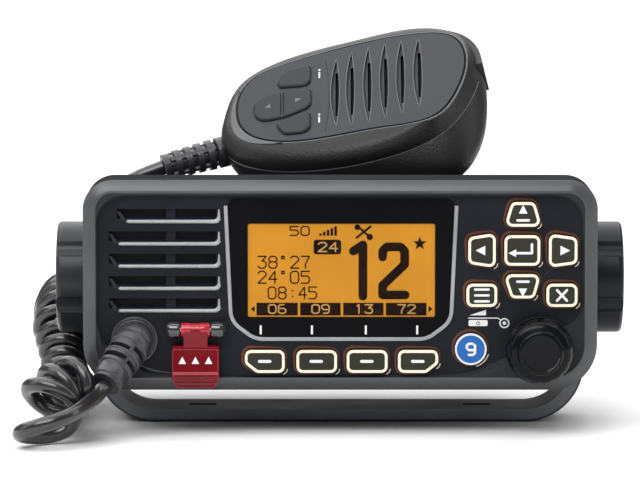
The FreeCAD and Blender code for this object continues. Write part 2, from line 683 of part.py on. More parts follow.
def speaker_basket():
    front = FASCIA_BACK + GAUZE_THICK
    ring = panel_rod(SPEAKER_X, SPEAKER_UP, SPEAKER_R, front, front + SPEAKER_FLANGE)
    centre = V(SPEAKER_X, front + SPEAKER_FLANGE, PANEL_MID + SPEAKER_UP)
    bowl_depth = SPEAKER_DEPTH - SPEAKER_FLANGE
    bowl = Part.makeCone(CONE_R + 1.6, MAGNET_R, bowl_depth, centre, V(0, 1, 0))
    hollow = Part.makeCone(CONE_R + 0.4, MAGNET_R - 2.0, bowl_depth - 1.0, centre, V(0, 1, 0))
    mouth = panel_rod(SPEAKER_X, SPEAKER_UP, CONE_R + 0.4, front - 1, front + SPEAKER_FLANGE)
    return ring.fuse(bowl).cut(hollow).cut(mouth).removeSplitter()


def speaker_cone():
    """A thin paper cone whose rim lies on the basket's mouth."""
    front = FASCIA_BACK + GAUZE_THICK + SPEAKER_FLANGE
    centre = V(SPEAKER_X, front, PANEL_MID + SPEAKER_UP)
    outer = Part.makeCone(CONE_R + 0.3, 4.0, 4.6, centre, V(0, 1, 0))
    inner = Part.makeCone(CONE_R - 0.5, 3.2, 4.1, centre, V(0, 1, 0))
    return outer.cut(inner)


def speaker_magnet():
    back = FASCIA_BACK + GAUZE_THICK + SPEAKER_DEPTH
    return panel_rod(SPEAKER_X, SPEAKER_UP, MAGNET_R, back, back + MAGNET_DEPTH)


# ---------------------------------------------------------------- rear case
def flange_front():
    return PANEL_BACK - CASE_FLANGE


def seal_front():
    return flange_front() - SEAL_THICK


def flange_outline():
    return housing_outline(SHELL_WALL + FLANGE_GAP)


def case_body(front, back, inset):
    """The case's rounded box, from y = front to y = back, drawn in by inset."""
    side = CASE_HALF - inset
    low, high = CASE_BOTTOM + inset - PANEL_MID, CASE_TOP - inset - PANEL_MID
    radius = max(CASE_EDGE - inset, 1.0)
    return panel_slab([(-side, low, radius), (side, low, radius), (side, high, radius),
                       (-side, high, radius)], front, back)


def fins():
    plates = []
    for index in range(FIN_COUNT):
        left = FIN_LEFT + index * FIN_PITCH
        plates.append(box(left, left + FIN_THICK, CASE_BACK - 0.5, CASE_BACK + FIN_DEPTH,
                          CASE_BOTTOM + 3, CASE_TOP - 3))
    return plates


def post_places():
    return [(side * POST_X, y) for side in (-1, 1) for y in POST_YS]


def chassis():
    shell = panel_slab(flange_outline(), flange_front(), PANEL_BACK)
    shell = fuse([shell, case_body(PANEL_BACK - 0.5, CASE_BACK, 0.0)] + fins())
    shell = shell.cut(case_body(flange_front() - 1, CASE_BACK - CASE_WALL, CASE_WALL))
    for side in (-1, 1):
        start = V(side * (CASE_HALF - 1.0), 0, PIVOT_Z)
        reach = ARM_ROOM - BRACKET_THICK - SEAT + 1.0
        shell = shell.fuse(rod(start, V(side, 0, 0), PIVOT_BOSS_R, reach))
        boss_start = V(side * (CASE_HALF - INSERT_BOSS), 0, PIVOT_Z)
        shell = shell.fuse(rod(boss_start, V(side, 0, 0), INSERT_R + 2.0, INSERT_BOSS))
        insert_start = V(side * (CASE_HALF - INSERT_DEPTH), 0, PIVOT_Z)
        shell = shell.cut(rod(insert_start, V(side, 0, 0), INSERT_R, INSERT_DEPTH + ARM_ROOM))
    for x, y in post_places():
        post = rod(V(x, y, CASE_BOTTOM + CASE_WALL - 0.5), V(0, 0, 1), POST_R,
                   PCB_BOTTOM - CASE_BOTTOM - CASE_WALL + 0.5)
        hole = rod(V(x, y, CASE_BOTTOM + CASE_WALL), V(0, 0, 1), SCREW_R, PCB_BOTTOM)
        shell = shell.fuse(post).cut(hole)
    for x, up in case_screw_places():
        shell = shell.cut(panel_rod(x, up, SCREW_R, flange_front() - 1, PANEL_BACK + 1))
    back_hole = CASE_BACK - CASE_WALL - 1
    shell = shell.cut(rod(V(ANTENNA_X, back_hole, ANTENNA_Z), V(0, 1, 0), ANTENNA_R - 1.5, CASE_WALL + 2))
    for x in GLAND_XS:
        shell = shell.cut(rod(V(x, back_hole, GLAND_Z), V(0, 1, 0), GLAND_R - 1.0, CASE_WALL + 2))
    return shell.removeSplitter()


def front_seal():
    ring = panel_slab(flange_outline(), seal_front(), flange_front())
    inner = housing_outline(SHELL_WALL + FLANGE_GAP + SEAL_WIDTH)
    ring = ring.cut(panel_slab(inner, seal_front() - 1, PANEL_BACK))
    for x, up in case_screw_places():
        ring = ring.cut(panel_rod(x, up, SCREW_R + 0.2, seal_front() - 1, PANEL_BACK))
    return ring


def pivot_inserts():
    inserts = []
    for side in (-1, 1):
        start = V(side * (CASE_HALF - INSERT_DEPTH), 0, PIVOT_Z)
        length = INSERT_DEPTH + ARM_ROOM - BRACKET_THICK - SEAT
        insert = rod(start, V(side, 0, 0), INSERT_R, length)
        inserts.append(insert.cut(rod(start, V(side, 0, 0), STUD_R + RUNNING, length + 1)))
    return Part.makeCompound(inserts)


def screw(head_seat, into):
    """A pan-head screw whose head sits on head_seat and whose shank points along into."""
    head = rod(head_seat, into * -1, SCREW_HEAD_R, SCREW_HEAD)
    shank = rod(head_seat, into, SCREW_R - 0.02, SCREW_LENGTH - 1.0)
    slot = Part.makeBox(SCREW_HEAD_R * 2, 0.6, 0.6, V(-SCREW_HEAD_R, -0.3, SCREW_HEAD - 0.5))
    slot.Placement = FreeCAD.Placement(head_seat, FreeCAD.Rotation(V(0, 0, 1), into * -1))
    return head.fuse(shank).cut(slot)


def case_screws():
    """Four screws through the case's flange and four that hold the main board."""
    screws = [screw(V(x, PANEL_BACK, PANEL_MID + up), V(0, -1, 0)) for x, up in case_screw_places()]
    board_top = PCB_BOTTOM + PCB_THICK
    screws += [screw(V(x, y, board_top), V(0, 0, -1)) for x, y in post_places()]
    return Part.makeCompound(screws)


def main_board():
    board = box(-PCB_HALF, PCB_HALF, PCB_FRONT, PCB_BACK, PCB_BOTTOM, PCB_BOTTOM + PCB_THICK)
    for x, y in post_places():
        board = board.cut(rod(V(x, y, PCB_BOTTOM - 1), V(0, 0, 1), SCREW_R, PCB_THICK + 2))
    return board


def rf_shield():
    low = PCB_BOTTOM + PCB_THICK
    right = SHIELD_LEFT + SHIELD_WIDTH
    back = SHIELD_FRONT + SHIELD_DEPTH
    can = box(SHIELD_LEFT, right, SHIELD_FRONT, back, low, low + SHIELD_HEIGHT)
    wall = SHIELD_WALL
    return can.cut(box(
        SHIELD_LEFT + wall, right - wall, SHIELD_FRONT + wall, back - wall, low - 1,
        low + SHIELD_HEIGHT - wall))


def power_module():
    low = PCB_BOTTOM + PCB_THICK
    left = MODULE_RIGHT - MODULE_WIDTH
    back = MODULE_FRONT + MODULE_DEPTH
    body = box(left, MODULE_RIGHT, MODULE_FRONT, back, low, low + MODULE_HEIGHT)
    tab_low = low + MODULE_TAB_LOW
    tab = box(left, MODULE_RIGHT, back, CASE_BACK - CASE_WALL, tab_low, tab_low + MODULE_TAB)
    return body.fuse(tab).removeSplitter()


def antenna_socket():
    """A screw-on coaxial socket with its square flange on the case's back."""
    half = ANTENNA_HALF
    face = CASE_BACK + ANTENNA_FLANGE
    flange = box(
        ANTENNA_X - half, ANTENNA_X + half, CASE_BACK, face, ANTENNA_Z - half, ANTENNA_Z + half)

    def along(start, radius, length):
        return rod(V(ANTENNA_X, start, ANTENNA_Z), V(0, 1, 0), radius, length)

    barrel = along(face, ANTENNA_R, ANTENNA_LENGTH)
    tail = along(CASE_BACK - ANTENNA_TAIL, ANTENNA_R - ANTENNA_WALL, ANTENNA_TAIL)
    hollow_start = face + ANTENNA_LENGTH / 4
    hollow = along(hollow_start, ANTENNA_R - ANTENNA_WALL, ANTENNA_LENGTH)
    pin = along(hollow_start - 1, CONTACT_R, ANTENNA_LENGTH * 0.7)
    bore = along(hollow_start + 2, CONTACT_BORE_R, ANTENNA_LENGTH)
    return fuse([flange, barrel, tail]).cut(hollow).fuse(pin).cut(bore).removeSplitter()


def rear_glands():
    """Rubber glands for the power and data leads, left empty."""
    glands = []
    for x in GLAND_XS:
        collar = rod(V(x, CASE_BACK, GLAND_Z), V(0, 1, 0), GLAND_R + 1.5, 2.0)
        neck_start = V(x, CASE_BACK + 2.0, GLAND_Z)
        neck = Part.makeCone(GLAND_R, GLAND_R - 1.2, GLAND_LENGTH - 2.0, neck_start, V(0, 1, 0))
        plug = rod(V(x, CASE_BACK - CASE_WALL, GLAND_Z), V(0, 1, 0), GLAND_R - 1.05, CASE_WALL)
        bore_start = V(x, CASE_BACK - CASE_WALL - 1, GLAND_Z)
        bore = rod(bore_start, V(0, 1, 0), GLAND_HOLE_R, GLAND_LENGTH + CASE_WALL + 2)
        glands.append(fuse([collar, neck, plug]).cut(bore))
    return Part.makeCompound(glands)


# ---------------------------------------------------------------- bracket and clamps
def bracket():
    half_depth = BRACKET_DEPTH / 2
    side = BRACKET_HALF
    inner_corner = BRACKET_CORNER - BRACKET_THICK
    top = PIVOT_Z + BRACKET_TOP_R
    inner = side - BRACKET_THICK
    points = [
        V(-side, -half_depth, top), V(-side, -half_depth, 0), V(side, -half_depth, 0),
        V(side, -half_depth, top), V(inner, -half_depth, top), V(inner, -half_depth, BRACKET_THICK),
        V(-inner, -half_depth, BRACKET_THICK), V(-inner, -half_depth, top)]
    radii = [0, BRACKET_CORNER, BRACKET_CORNER, 0, 0, inner_corner, inner_corner, 0]
    strap = Part.Face(rounded(points, radii)).extrude(V(0, BRACKET_DEPTH, 0))
    low_edges = [e for e in strap.Edges if e.BoundBox.ZMax < 0.01 and e.BoundBox.XLength > side]
    strap = strap.makeFillet(FOOT_EDGE, low_edges)
    tower = box(-side - 1, side + 1, -half_depth, half_depth, PIVOT_Z, top + 1)
    round_top = rod(V(-side - 1, 0, PIVOT_Z), V(1, 0, 0), BRACKET_TOP_R, 2 * side + 2)
    strap = strap.cut(tower.cut(round_top))
    strap = strap.cut(rod(V(-side - 1, 0, PIVOT_Z), V(1, 0, 0), ARM_HOLE_R, 2 * side + 2))
    reach = SLOT_LENGTH / 2 - SLOT_R
    for x in (-SLOT_X, SLOT_X):
        slot = box(x - reach, x + reach, -SLOT_R, SLOT_R, -1, BRACKET_THICK + 1)
        for end in (x - reach, x + reach):
            slot = slot.fuse(rod(V(end, 0, -1), V(0, 0, 1), SLOT_R, BRACKET_THICK + 2))
        strap = strap.cut(slot)
    return strap


def clamp_knob(side):
    """A lobed clamp knob, with its boss against the washer."""
    inner_face = CLAMP_FACE - CLAMP_THICK
    body = rod(V(side * inner_face, 0, PIVOT_Z), V(side, 0, 0), CLAMP_R, CLAMP_THICK)
    rims = [e for e in body.Edges if e.Length > CLAMP_R * 6]
    body = body.makeFillet(CLAMP_EDGE, rims)
    for lobe in range(CLAMP_LOBES):
        turn = math.radians(360 / CLAMP_LOBES * (lobe + 0.4))
        centre = V(side * (inner_face - 1), CLAMP_GROOVE_AT * math.cos(turn),
                   PIVOT_Z + CLAMP_GROOVE_AT * math.sin(turn))
        body = body.cut(rod(centre, V(side, 0, 0), CLAMP_GROOVE_R, CLAMP_THICK + 2))
    depth = CLAMP_THICK - CLAMP_SKIN
    hole = rod(V(side * (inner_face - 1), 0, PIVOT_Z), V(side, 0, 0), STUD_R, depth)
    return body.cut(hole)


def knob_stud(side):
    """The threaded stud, moulded into its knob and screwed into the case's insert."""
    start = CASE_HALF - INSERT_DEPTH + 2.0
    end = CLAMP_FACE - CLAMP_SKIN - 1.0
    return rod(V(side * start, 0, PIVOT_Z), V(side, 0, 0), STUD_R, end - start)


def knob_washers():
    washers = []
    for side in (-1, 1):
        start = V(side * BRACKET_HALF, 0, PIVOT_Z)
        washer = rod(start, V(side, 0, 0), WASHER_R, WASHER_THICK)
        washers.append(washer.cut(rod(start, V(side, 0, 0), ARM_HOLE_R, WASHER_THICK)))
    return Part.makeCompound(washers)


# ---------------------------------------------------------------- cord
def cord_path(points, name):
    """Straight runs joined by tangent arcs, each arc as large as its two runs allow."""
    edges = []
    start = points[0]
    radii = []
    for i in range(1, len(points) - 1):
        corner = points[i]
        back = points[i - 1] - corner
        ahead = points[i + 1] - corner
        half_turn = (math.pi - back.getAngle(ahead)) / 2
        cut = 0.45 * min(back.Length, ahead.Length)
        radius = cut / math.tan(half_turn)
        back = back.normalize()
        ahead = ahead.normalize()
        arc_start = corner + back * cut
        arc_end = corner + ahead * cut
        sagitta = radius / math.cos(half_turn) - radius
        middle = corner + (back + ahead).normalize() * sagitta
        edges.append(Part.LineSegment(start, arc_start).toShape())
        edges.append(Part.Arc(arc_start, middle, arc_end).toShape())
        start = arc_end
        radii.append(round(radius, 1))
    edges.append(Part.LineSegment(start, points[-1]).toShape())
    print(name, "arc radii", radii)
    return Part.Wire(edges)


def cord_tube(points, radius, name):
    path = cord_path(points, name)
    ring = Part.Wire(Part.Circle(points[0], points[1] - points[0], radius).toShape())
    tube = path.makePipeShell([ring], True, False)
    expected = math.pi * radius ** 2 * path.Length
    print(name, "length", round(path.Length, 1), "volume over section x length",
          round(tube.Volume / expected, 4))
    return tube


def tapered_boot(start, end, radius, end_radius, ribs):
    """A strain relief: a tapered sleeve with raised ribs."""
    along = end - start
    length = along.Length
    core = Part.makeCone(radius * 0.86, end_radius * 0.86, length, start, along)
    pieces = [core]
    pitch = length / ribs
    for index in range(ribs):
        here = start + along * ((index + 0.12) / ribs)
        rib_radius = radius + (end_radius - radius) * index / ribs
        pieces.append(rod(here, along, rib_radius, pitch * 0.62))
    return fuse(pieces)


def cord_boot_front():
    centre = V(BOOT_X, FASCIA_FRONT, PANEL_MID + BOOT_UP)
    start = centre - V(0, BOOT_BASE_THICK, 0)
    base = rod(start, V(0, 1, 0), BOOT_BASE_R, BOOT_BASE_THICK)
    plug = rod(centre, V(0, 1, 0), BOOT_PLUG_R, FASCIA_THICK + 3.0)
    sleeve = tapered_boot(start, BOOT_END, BOOT_R, BOOT_END_R, 4)
    knuckle = Part.makeSphere(BOOT_R, start)
    keep = box(-HALF_PANEL, 0, PANEL_FRONT * 2, FASCIA_FRONT, 0, PANEL_TOP)
    outside = fuse([base, sleeve, knuckle]).common(keep)
    whole = outside.fuse(plug).removeSplitter()
    return whole.cut(front_housing())


# ---------------------------------------------------------------- handset
def mic_matrix():
    """Turns the handset's own l, w, n axes into the radio's, with its place."""
    roll = FreeCAD.Rotation(V(1, 0, 0), MIC_ROLL)
    pitch = FreeCAD.Rotation(V(0, 1, 0), -MIC_PITCH)
    yaw = FreeCAD.Rotation(V(0, 0, 1), MIC_YAW)
    return FreeCAD.Placement(MIC_CENTRE, yaw.multiply(pitch).multiply(roll)).toMatrix()


def on_mic(shape):
    return shape.transformed(mic_matrix())


def mic_wire(outline, inset, up):
    """One of the handset's outlines at height up, drawn in by inset along the radius."""
    curve = Part.BSplineCurve()
    points = []
    for along, across in outline:
        far = math.hypot(along, across)
        share = 1 - inset / far
        points.append(V(along * share, across * share, up))
    curve.interpolate(Points=points, PeriodicFlag=True)
    return Part.Wire(curve.toShape())


def mic_hull(levels, inset):
    wires = [mic_wire(outline, inward + inset, up) for outline, inward, up in levels]
    return Part.makeLoft(wires, True, False)


def ptt_space(room, travel):
    """The talk bar's L-shaped space along the far side and round the end."""
    side = box(PTT_START - room, MIC_BEYOND, PTT_INNER - travel - room, MIC_BEYOND,
               PTT_DOWN - room, PTT_UP + room)
    end = box(PTT_WRAP_L - room, MIC_BEYOND, PTT_WRAP_W - travel - room, MIC_BEYOND,
              PTT_DOWN - room, PTT_UP + room)
    return side.fuse(end).removeSplitter()


def mic_key_outline(name, up, grow=0.0):
    points = [V(along, across, up) for along, across in MIC_KEYS[name]]
    face = Part.Face(rounded(points, [1.6] * len(points)))
    return face.makeOffset2D(grow) if grow else face


def mic_boot_axis():
    """Where the handset's boot starts inside the shells, and its length and direction."""
    along = (MIC_LEAD[-1] - MIC_LEAD[-2]).normalize() * MIC_BOOT_LENGTH
    return MIC_BOOT_END + along, along * -1


def mic_boot_room():
    start, along = mic_boot_axis()
    inverse = mic_matrix().inverse()
    return rod(start, along, MIC_BOOT_R * 0.86, MIC_BOOT_SEAT).transformed(inverse)


def mic_lens(along, reach):
    """The shallow lens-shaped hollow round a slit in the handset's face."""
    low = MIC_FACE_UP - MIC_LENS_DEPTH
    ends = [V(along, -reach, low), V(along, reach, low)]
    sides = [Part.Arc(ends[0], V(along + side * MIC_LENS_HALF, 0, low), ends[1]).toShape()
             for side in (-1, 1)]
    return Part.Face(Part.Wire(sides)).extrude(V(0, 0, MIC_FACE_UP))


def mic_front_shell():
    levels = [
        (MIC_SEAM, 0.0, 0.0), (MIC_SEAM, MIC_RIM_INSET, MIC_RIM_UP), (MIC_FACE_EDGE, 0.0, MIC_FACE_UP)]
    shell = mic_hull(levels, 0.0)
    inner = [
        (MIC_SEAM, 0.0, -0.01), (MIC_SEAM, MIC_RIM_INSET, MIC_RIM_UP - MIC_WALL),
        (MIC_FACE_EDGE, 0.0, MIC_FACE_UP - MIC_WALL)]
    shell = shell.cut(mic_hull(inner, MIC_WALL))
    shell = shell.cut(ptt_space(PTT_ROOM, PTT_TRAVEL))
    for name in MIC_KEYS:
        window = mic_key_outline(name, MIC_BOARD_FACE, KEY_GAP)
        shell = shell.cut(window.extrude(V(0, 0, 2 * MIC_FACE_UP)))
    half = MIC_SLOT_WIDTH / 2
    for along, reach in zip(MIC_SLOT_LS, MIC_SLOT_HALF):
        slit = reach * MIC_SLOT_SHARE
        shell = shell.cut(mic_lens(along, reach))
        shell = shell.cut(box(
            along - half, along + half, -slit, slit, MIC_BOARD_FACE, 2 * MIC_FACE_UP))
    return shell.cut(mic_boot_room())


def mic_back_shell():
    levels = [
        (MIC_SEAM, 0.0, 0.0), (MIC_BELLY, 0.0, -MIC_BELLY_DOWN), (MIC_BELLY, MIC_BACK_INSET, -MIC_BACK_DOWN)]
    shell = mic_hull(levels, 0.0)
    inner = [
        (MIC_SEAM, 0.0, 0.01), (MIC_BELLY, 0.0, -MIC_BELLY_DOWN),
        (MIC_BELLY, MIC_BACK_INSET, MIC_WALL - MIC_BACK_DOWN)]
    shell = shell.cut(mic_hull(inner, MIC_WALL))
    post = rod(V(0, 0, -MIC_BACK_DOWN + 0.5), V(0, 0, 1), MIC_POST_R,
               MIC_BACK_DOWN - 0.5 + MIC_BOARD_BACK)
    bore = rod(V(0, 0, -MIC_BACK_DOWN - 1), V(0, 0, 1), MIC_SCREW_R, MIC_SCREW_DEPTH + 2)
    shell = shell.fuse(post).cut(bore)
    return shell.cut(ptt_space(PTT_ROOM, PTT_TRAVEL)).cut(mic_boot_room())


def mic_board():
    left, right, half = MIC_BOARD
    return box(left, right, -half, half, MIC_BOARD_BACK, MIC_BOARD_FACE)


def mic_keypad():
    """The rubber sheet under the handset's keys."""
    top = MIC_KEY_BOTTOM - MIC_KEY_TRAVEL - 0.1
    left, right, near, far = MIC_PAD
    return box(left, right, near, far, MIC_BOARD_FACE, top)


def mic_capsule():
    return rod(V(CAPSULE_L, 0, MIC_BOARD_FACE), V(0, 0, 1), CAPSULE_R, CAPSULE_DEPTH)


def mic_key(name):
    low = MIC_KEY_BOTTOM
    return mic_key_outline(name, low).extrude(V(0, 0, MIC_FACE_UP + MIC_KEY_PROUD - low))


def ptt_button():
    grown = mic_hull([(MIC_SEAM, 0.0, PTT_UP + 1), (MIC_BELLY, 0.0, PTT_DOWN - 1)], -PTT_PROUD)
    return ptt_space(0.0, 0.0).common(grown)


def hanger_stud():
    neck = rod(V(0, 0, -MIC_BACK_DOWN - HANGER_NECK), V(0, 0, 1), HANGER_NECK_R, HANGER_NECK)
    head = rod(V(0, 0, -MIC_BACK_DOWN - HANGER_NECK - HANGER_HEAD), V(0, 0, 1), HANGER_R, HANGER_HEAD)
    screw_shank = rod(V(0, 0, -MIC_BACK_DOWN), V(0, 0, 1), MIC_SCREW_R - 0.02, MIC_SCREW_DEPTH)
    return fuse([neck, head, screw_shank])


def mic_boot():
    start, along = mic_boot_axis()
    sleeve = tapered_boot(start, MIC_BOOT_END, MIC_BOOT_R, MIC_BOOT_END_R, 5)
    shells = on_mic(mic_front_shell()).fuse(on_mic(mic_back_shell()))
    sleeve = sleeve.cut(shells)
    return max(sleeve.Solids, key=lambda solid: solid.Volume)


# ---------------------------------------------------------------- build
def build():
    save("front_housing", front_housing())
    save("fascia", fascia())
    save("grille_trim", grille_trim())
    save("display_window", display_window())
    save("display_trim", display_trim())
    save("lcd_module", lcd_module())
    for name, corners in KEY_OUTLINES.items():
        save(name, key(with_radius(corners, KEY_CORNER)))
    save("key_channel", channel_key())
    save("keypad_mat", keypad_mat())
    save("control_board", control_board())
    save("encoder_body", encoder_body())
    save("encoder_shaft", encoder_shaft())
    save("volume_knob", volume_knob())
    save("distress_button", distress_button())
    save("distress_cover", distress_cover())
    save("distress_hinge_pin", distress_hinge_pin())
    save("speaker_gauze", speaker_gauze())
    save("speaker_basket", speaker_basket())
    save("speaker_cone", speaker_cone())
    save("speaker_magnet", speaker_magnet())
    save("chassis", chassis())
    save("front_seal", front_seal())
    save("pivot_inserts", pivot_inserts())
    save("case_screws", case_screws())
    save("main_board", main_board())
    save("rf_shield", rf_shield())
    save("power_module", power_module())
    save("antenna_socket", antenna_socket())
    save("rear_glands", rear_glands())
    save("bracket", bracket())
    save("knob_washers", knob_washers())
    for side, word in ((-1, "left"), (1, "right")):
        save("bracket_knob_" + word, clamp_knob(side))
        save("knob_stud_" + word, knob_stud(side))
    save("cord_boot_front", cord_boot_front())
    save("cord_lead_front", cord_tube(FRONT_LEAD, CORD_R, "front lead"))
    save("cord_coil", cord_tube(COIL_ROUTE, COIL_R, "coil"))
    save("cord_lead_mic", cord_tube(MIC_LEAD, CORD_R, "handset lead"))
    save("mic_front_shell", on_mic(mic_front_shell()))
    save("mic_back_shell", on_mic(mic_back_shell()))
    save("mic_board", on_mic(mic_board()))
    save("mic_keypad", on_mic(mic_keypad()))
    save("mic_capsule", on_mic(mic_capsule()))
    for name in MIC_KEYS:
        save(name, on_mic(mic_key(name)))
    save("ptt_button", on_mic(ptt_button()))
    save("hanger_stud", on_mic(hanger_stud()))
    save("mic_boot", mic_boot())


build()
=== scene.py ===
"""Looks of the VHF marine radio: materials, camera, light, the curly cord and the detailed pieces.

Lengths in this file are millimetres until a piece is made; Blender and the frame are in metres.
Heights on the front panel are given from PANEL_MID, and the handset's own axes are l, w and n.
"""
import bpy
import bmesh
from math import atan2, cos, dist, exp, hypot, pi, radians, sin, sqrt, tan
from mathutils import Matrix, Vector
import numpy as np


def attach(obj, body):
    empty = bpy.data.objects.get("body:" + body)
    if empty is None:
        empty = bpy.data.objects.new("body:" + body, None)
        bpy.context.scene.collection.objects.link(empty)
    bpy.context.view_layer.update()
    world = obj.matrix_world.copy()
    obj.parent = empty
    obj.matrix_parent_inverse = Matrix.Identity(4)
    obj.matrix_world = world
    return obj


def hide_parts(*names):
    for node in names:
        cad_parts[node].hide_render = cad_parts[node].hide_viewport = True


MM = 0.001
PANEL_MID = 46.9
FASCIA_FRONT = -40.6
KEY_FRONT = -42.6
# edges that turn by more than this are drawn sharp, and those past the second are bevelled
SHARP_ANGLE = radians(32)
BEVEL_ANGLE = radians(35)

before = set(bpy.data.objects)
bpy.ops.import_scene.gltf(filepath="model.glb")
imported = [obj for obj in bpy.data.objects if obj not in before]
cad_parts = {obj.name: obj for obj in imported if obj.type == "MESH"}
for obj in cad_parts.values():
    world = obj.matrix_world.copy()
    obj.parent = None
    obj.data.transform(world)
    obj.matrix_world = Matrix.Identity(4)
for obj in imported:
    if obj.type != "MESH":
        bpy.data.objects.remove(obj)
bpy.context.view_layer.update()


# ---- geometry helpers
def placed(name, data):
    """An object that shows some data, in the scene."""
    piece = bpy.data.objects.new(name, data)
    bpy.context.collection.objects.link(piece)
    return piece


def smoothed(mesh):
    mesh.shade_smooth()
    mesh.set_sharp_from_angle(angle=SHARP_ANGLE)
    return mesh


def shown(name, shape):
    """An object from a bmesh, with its faces turned outward."""
    bmesh.ops.recalc_face_normals(shape, faces=shape.faces)
    mesh = bpy.data.meshes.new(name)
    shape.to_mesh(mesh)
    shape.free()
    return placed(name, mesh)


def mesh_object(name, points, faces, smooth=True):
    """A mesh from points in millimetres."""
    shape = bmesh.new()
    spots = [shape.verts.new(Vector(p) * MM) for p in points]
    for face in faces:
        shape.faces.new([spots[i] for i in face])
    piece = shown(name, shape)
    if smooth:
        smoothed(piece.data)
    return piece


def dress(piece, look, body, slot, *nodes):
    """Gives a piece its look, the body it rides on and the nodes it stands for; slot is not used."""
    piece.data.materials.clear()
    piece.data.materials.append(LOOKS[look])
    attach(piece, body)
    if nodes:
        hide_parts(*nodes)
    return piece


def bevelled(piece, width, segments=3):
    """Rounds the sharp edges and keeps flat faces flat."""
    bevel = piece.modifiers.new("bevel", "BEVEL")
    bevel.width = width * MM
    bevel.segments = segments
    bevel.limit_method = "ANGLE"
    bevel.angle_limit = BEVEL_ANGLE
    bevel.harden_normals = True
    return piece


def quads(low, high, count):
    """Faces between two rings of points, which begin at low and at high."""
    return [(low + i, low + (i + 1) % count, high + (i + 1) % count, high + i) for i in range(count)]


def loft(name, rings, smooth=True, closed=False):
    """A skin over rings that have the same number of points; closed joins the last to the first."""
    points = [p for ring in rings for p in ring]
    count = len(rings[0])
    faces = []
    for low in range(0, len(points) if closed else len(points) - count, count):
        faces += quads(low, (low + count) % len(points), count)
    if not closed:
        faces += [range(count), range(len(points) - count, len(points))]
    return mesh_object(name, points, faces, smooth)


def on_panel(outline, y):
    """Places on the front panel, from (x, height above its middle), at a depth y."""
    return [(x, y, PANEL_MID + up) for x, up in outline]


def plate(name, outline, front, back, place=on_panel):
    """A flat plate with an outline, between two depths."""
    return loft(name, [place(outline, front), place(outline, back)], smooth=False)


def rounded(corners, radius=None, steps=6):
    """An outline with its corners turned into arcs; corners may hold their own radius."""
    outline = []
    count = len(corners)
    for i in range(count):
        corner = Vector(corners[i][:2])
        here = corners[i][2] if radius is None else radius
        back = (Vector(corners[i - 1][:2]) - corner).normalized()
        ahead = (Vector(corners[(i + 1) % count][:2]) - corner).normalized()
        half = back.angle(ahead) / 2
        cut = here / tan(half)
        centre = corner + (back + ahead).normalized() * (here / sin(half))
        start = corner + back * cut - centre
        end = corner + ahead * cut - centre
        turn = atan2(start.x * end.y - start.y * end.x, start.dot(end))
        for step in range(steps + 1):
            outline.append(tuple(centre + Matrix.Rotation(turn * step / steps, 2) @ start))
    return outline


def grown(outline, amount):
    """The outline moved outward by amount, or drawn in where amount is negative."""
    count = len(outline)
    area = sum(outline[i - 1][0] * outline[i][1] - outline[i][0] * outline[i - 1][1] for i in range(count))
    side = 1 if area > 0 else -1
    moved = []
    for i in range(count):
        here = Vector(outline[i])
        before = here - Vector(outline[i - 1])
        after = Vector(outline[(i + 1) % count]) - here
        along = (before.normalized() + after.normalized()).normalized()
        moved.append((here.x + along.y * side * amount, here.y - along.x * side * amount))
    return moved


def hoop(name, outer, inner, front, back, place=on_panel):
    """A raised line between two outlines that have the same number of points."""
    rings = [place(outer, back), place(outer, front), place(inner, front), place(inner, back)]
    return loft(name, rings, smooth=False, closed=True)


def band(name, outline, width, front, back, place=on_panel):
    """A raised line of some width, just inside a closed outline."""
    return hoop(name, outline, grown(outline, -width), front, back, place)


def around(x, up, radius, turn):
    """The place at some distance from (x, up), in a direction in degrees."""
    return (x + radius * cos(radians(turn)), up + radius * sin(radians(turn)))


def arc(x, up, radius, start, end, steps):
    """Points of an arc, with its angles in degrees."""
    return [around(x, up, radius, start + (end - start) * k / steps) for k in range(steps + 1)]


def disc(x, up, radius, steps):
    return arc(x, up, radius, 0, 360, steps)[:-1]


def block(left, right, low, high):
    return [(left, low), (right, low), (right, high), (left, high)]


def arrow(x, up, turn, size):
    """A triangle that points where turn says, in degrees."""
    tips = ((0, 1), (125, 0.95), (-125, 0.95))
    return [around(x, up, size * reach, turn + aside) for aside, reach in tips]


def stroke(points, width):
    """A line as flat shapes: a disc at each point and a strip for each run."""
    half = width / 2
    shapes = [disc(x, up, half, 12) for x, up in points]
    for start, end in zip(points, points[1:]):
        run = dist(start, end)
        dx, dup = (start[1] - end[1]) / run * half, (end[0] - start[0]) / run * half
        ways = ((start, -1), (end, -1), (end, 1), (start, 1))
        shapes.append([(x + way * dx, up + way * dup) for (x, up), way in ways])
    return shapes


def flat(name, shapes, front, back, place=on_panel):
    """Thin raised shapes, each an outline that bulges outward all round."""
    points, faces = [], []
    for shape in shapes:
        base = len(points)
        middle = base + len(shape)
        # shapes that overlap lie a hair apart
        hair = (front - back) * 0.012 * (base // 3 % 7)
        points += place(shape, front + hair) + place(shape, back)
        faces += [range(base, middle), range(middle, len(points))] + quads(base, middle, len(shape))
    return mesh_object(name, points, faces, smooth=False)


def pierced(name, outline, holes, front, back, place=on_panel):
    """A plate with holes in it."""
    mesh = bmesh.new()
    rims = []
    for loop in [outline] + holes:
        spots = [mesh.verts.new(Vector(p) * MM) for p in place(loop, front)]
        rims += [mesh.edges.new((spots[i - 1], spots[i])) for i in range(len(spots))]
    bmesh.ops.triangle_fill(mesh, edges=rims, use_beauty=True)
    skin = bmesh.ops.extrude_face_region(mesh, geom=mesh.faces[:])
    moved = [item for item in skin["geom"] if isinstance(item, bmesh.types.BMVert)]
    shift = Vector(place([(0, 0)], back)[0]) - Vector(place([(0, 0)], front)[0])
    bmesh.ops.translate(mesh, verts=moved, vec=shift * MM)
    return shown(name, mesh)


